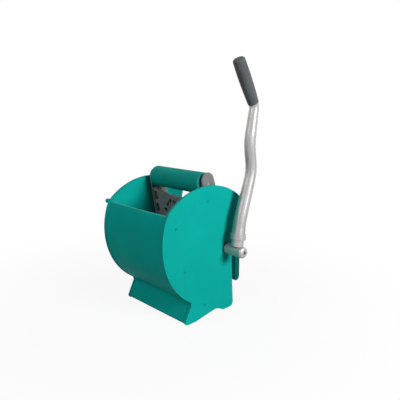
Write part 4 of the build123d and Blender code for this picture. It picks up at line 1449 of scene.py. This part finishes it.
    def build_cap(self, maker: Maker) -> None:
        """Make the domed cap screw with its hexagon socket."""
        draft = Draft(axis_plane(LAYOUT.pivot, self.hub_end_x))
        wide, tall = self.cap_height - self.cap_rim, self.cap_radius - self.cap_flat
        dome = (wide**2 + tall**2) / (2 * tall)
        center = (self.cap_rim, self.cap_radius - dome)
        mouth = (self.cap_height, self.socket_radius + 0.9)
        draft.turn(
            [
                (-self.cap_shank_length, 0.0), (-self.cap_shank_length, self.cap_shank), (0.0, self.cap_shank),
                (0.0, self.cap_radius),
                arc_between(center, (self.cap_rim, self.cap_radius), (self.cap_height, self.cap_flat), True),
                mouth,
            ],
            False,
        )
        rim = [edge for edge in draft.mesh.edges if edge.is_boundary]
        face_plane = work_plane((self.hub_end_x + self.cap_height, *LAYOUT.pivot), (0, 1, 0), (0, 0, 1))
        made = bmesh.ops.create_circle(draft.mesh, segments=6, radius=self.socket_radius, matrix=face_plane)
        socket = list({edge for vert in made["verts"] for edge in vert.link_edges})
        bmesh.ops.bridge_loops(draft.mesh, edges=rim + socket)
        deep = bmesh.ops.extrude_edge_only(draft.mesh, edges=socket)["geom"]
        verts = [g for g in deep if isinstance(g, bmesh.types.BMVert)]
        bmesh.ops.translate(draft.mesh, verts=verts, vec=(-self.socket_depth * MM, 0, 0))
        bmesh.ops.contextual_create(draft.mesh, geom=verts)
        maker.place(draft, "hub_bolt", Slot.STEEL, Body.CARRIAGE, "hub_cap_screw")


@dataclass(frozen=True)
class ReturnSpring:
    """The torsion spring round the shaft: one leg behind the stop bar, one in front of the carrier's lug."""

    wire_radius: float = 1.75
    coil_radius: float = 13.0
    hub_x: float = -68.0
    arm_x: float = -93.5
    turns: int = 5
    bar_radius: float = 7.0
    touch: float = 0.1
    moving_leg: float = 46.0
    overrun: float = 12.0
    steps_per_turn: int = 40
    wire_steps: int = 14

    def build(self, maker: Maker) -> None:
        """Make the wire and show it in place of the packed spring."""
        y, z = (LAYOUT.stop_at[0] - LAYOUT.pivot[0], LAYOUT.stop_at[1] - LAYOUT.pivot[1])
        far = hypot(y, z)
        leg_turn = asin((self.coil_radius - self.bar_radius - self.wire_radius - self.touch) / far)
        start = atan2(z, y) - pi / 2 + leg_turn
        sweep = start - (LAYOUT.arm_lean - pi) + tau * self.turns
        fixed_leg = far * cos(leg_turn) + self.overrun
        steps = round(sweep / tau * self.steps_per_turn)
        way = Vector((0.0, sin(start), -cos(start)))
        first = Vector((self.hub_x, *LAYOUT.pivot)) + Vector((0.0, cos(start), sin(start))) * self.coil_radius
        outward = (0.0, cos(start), sin(start))
        draft = Draft(work_plane(tuple(first - way * fixed_leg), outward, (1, 0, 0)))
        ring = draft.hole((0.0, 0.0), self.wire_radius, self.wire_steps)
        end_rings = [ring]
        ring = self.extend(draft, ring, way * fixed_leg)
        spun = bmesh.ops.spin(
            draft.mesh, geom=list({vert for edge in ring for vert in edge.verts}) + ring,
            cent=Vector((self.hub_x, *LAYOUT.pivot)) * MM, axis=(1, 0, 0), angle=-sweep, steps=steps,
            dvec=Vector(((self.arm_x - self.hub_x) / steps, 0, 0)) * MM,
        )
        ring = [g for g in spun["geom_last"] if isinstance(g, bmesh.types.BMEdge)]
        last = start - sweep
        end_rings.append(self.extend(draft, ring, Vector((0.0, sin(last), -cos(last))) * self.moving_leg))
        for edges in end_rings:
            bmesh.ops.edgeloop_fill(draft.mesh, edges=edges)
        piece = maker.finish(draft, "spring_coil", Slot.SPRING)
        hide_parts("return_spring")
        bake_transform(piece)

    @staticmethod
    def extend(draft: Draft, ring: Edges, way: Vector) -> Edges:
        """Extrude a ring of edges along a way in millimetres and return the ring at its end."""
        made = bmesh.ops.extrude_edge_only(draft.mesh, edges=ring)["geom"]
        verts = {g for g in made if isinstance(g, bmesh.types.BMVert)}
        bmesh.ops.translate(draft.mesh, verts=list(verts), vec=way * MM)
        edges = [g for g in made if isinstance(g, bmesh.types.BMEdge)]
        return [edge for edge in edges if all(vert in verts for vert in edge.verts)]


@dataclass(frozen=True)
class Studio:
    """Camera, soft lights and a white floor."""

    camera_at: Triple = (0.9018, -0.7282, 0.5475)
    camera_pitch: float = radians(78.17)
    camera_yaw: float = radians(45.9)
    lens: float = 40.23
    floor_half: float = 8.0
    floor_drop: float = 0.0004
    sky: float = 0.04
    floor_shade: float = 0.1
    floor_fade: Point = (0.3, 0.85)
    floor_seen: float = 0.85
    floor_bounce: float = 0.22

    def build(self) -> None:
        """Set up everything round the part."""
        self.set_camera()
        self.set_world()
        self.set_floor()
        self.add_light("key", (2.2, 0.25, 1.13), 0.7, 47.0)
        self.add_light("front", (-0.2, -2.1, 1.7), 1.5, 21.0)
        self.add_light("left", (-2.2, 0.4, 1.0), 1.5, 10.0)
        self.add_light("rear", (-0.6, 2.2, 0.5), 1.5, 10.0)
        bpy.context.scene.view_settings.view_transform = "Standard"

    def set_camera(self) -> None:
        """Stand the camera where the photograph was taken from."""
        camera = bpy.data.cameras.new("camera")
        camera.lens = self.lens
        stand = bpy.data.objects.new("camera", camera)
        stand.location = self.camera_at
        stand.rotation_euler = (self.camera_pitch, 0.0, self.camera_yaw)
        bpy.context.scene.collection.objects.link(stand)
        bpy.context.scene.camera = stand

    def set_world(self) -> None:
        """Light the part evenly from a sky that the camera sees as white."""
        world = bpy.data.worlds.new("sky")
        bpy.context.scene.world = world
        world.use_nodes = True
        nodes, links = world.node_tree.nodes, world.node_tree.links
        sky = nodes["Background"]
        sky.inputs["Color"].default_value = (1.0, 1.0, 1.0, 1.0)
        level = nodes.new("ShaderNodeMapRange")
        level.inputs["To Min"].default_value = self.sky
        level.inputs["To Max"].default_value = 1.0
        links.new(sees_white(world.node_tree), level.inputs["Value"])
        links.new(level.outputs["Result"], sky.inputs["Strength"])

    def set_floor(self) -> None:
        """Lay a white floor that keeps the part's shadow."""
        draft = bmesh.new()
        bmesh.ops.create_grid(
            draft, x_segments=1, y_segments=1, size=self.floor_half,
            matrix=Matrix.Translation((0, 0, -self.floor_drop)),
        )
        mesh = bpy.data.meshes.new("floor")
        draft.to_mesh(mesh)
        draft.free()
        mesh.materials.append(self.floor_material())
        floor = bpy.data.objects.new("floor", mesh)
        bpy.context.scene.collection.objects.link(floor)

    def floor_material(self) -> bpy.types.Material:
        """Return a white that the camera sees lit near the part and plain white further off."""
        shader = Shader("floor_white")
        seen = sees_white(shader.tree)
        shader.set("Base Color", shader.spread(seen, self.floor_bounce, self.floor_seen))
        shader.set("Roughness", 0.9)
        far = shader.add("ShaderNodeVectorMath", {0: shader.place()}, operation="LENGTH").outputs["Value"]
        near, away = self.floor_fade
        limits = {"Value": far, "From Min": near, "From Max": away, "To Min": 1 - self.floor_shade, "To Max": 1.0}
        plain = shader.add("ShaderNodeMapRange", limits).outputs["Result"]
        share = shader.add("ShaderNodeMath", {0: plain, 1: seen}, operation="MULTIPLY").outputs["Value"]
        white = shader.add("ShaderNodeEmission").outputs["Emission"]
        mixed = shader.add("ShaderNodeMixShader", {0: share, 1: shader.surface.outputs["BSDF"], 2: white})
        shader.tree.links.new(mixed.outputs["Shader"], shader.tree.nodes["Material Output"].inputs["Surface"])
        return shader.material

    @staticmethod
    def add_light(name: str, at: Triple, size: float, power: float) -> None:
        """Add a soft square light that faces the part.

        Args:
            name: the light's name.
            at: where it stands, in metres.
            size: the length of its sides, in metres.
            power: its power in watts.
        """
        light = bpy.data.lights.new(name, "AREA")
        light.size = size
        light.energy = power
        stand = bpy.data.objects.new(name, light)
        stand.location = at
        aim = Vector((0.03, 0.05, 0.25)) - Vector(at)
        stand.rotation_euler = aim.to_track_quat("-Z", "Y").to_euler()
        bpy.context.scene.collection.objects.link(stand)


PACKED_AS_IS = (
    "right_plate_screws", "left_plate_screws", "shaft_circlip", "yoke_pins", "axle_grub_screws", "hub_set_screw",
)


def main() -> None:
    """Build every sub-assembly in order, then the studio."""
    logging.basicConfig(level=logging.INFO, format="%(message)s")
    maker = Maker()
    for assembly in (
        SidePlates(), DrumBody(), RearCover(), ShaftAndBars(), Roller(), RollerYoke(), HandLever(), ReturnSpring()
    ):
        assembly.build(maker)
    for node in PACKED_AS_IS:
        maker.stock.dress(node)
    Studio().build()


if __name__ == "__main__":
    main()
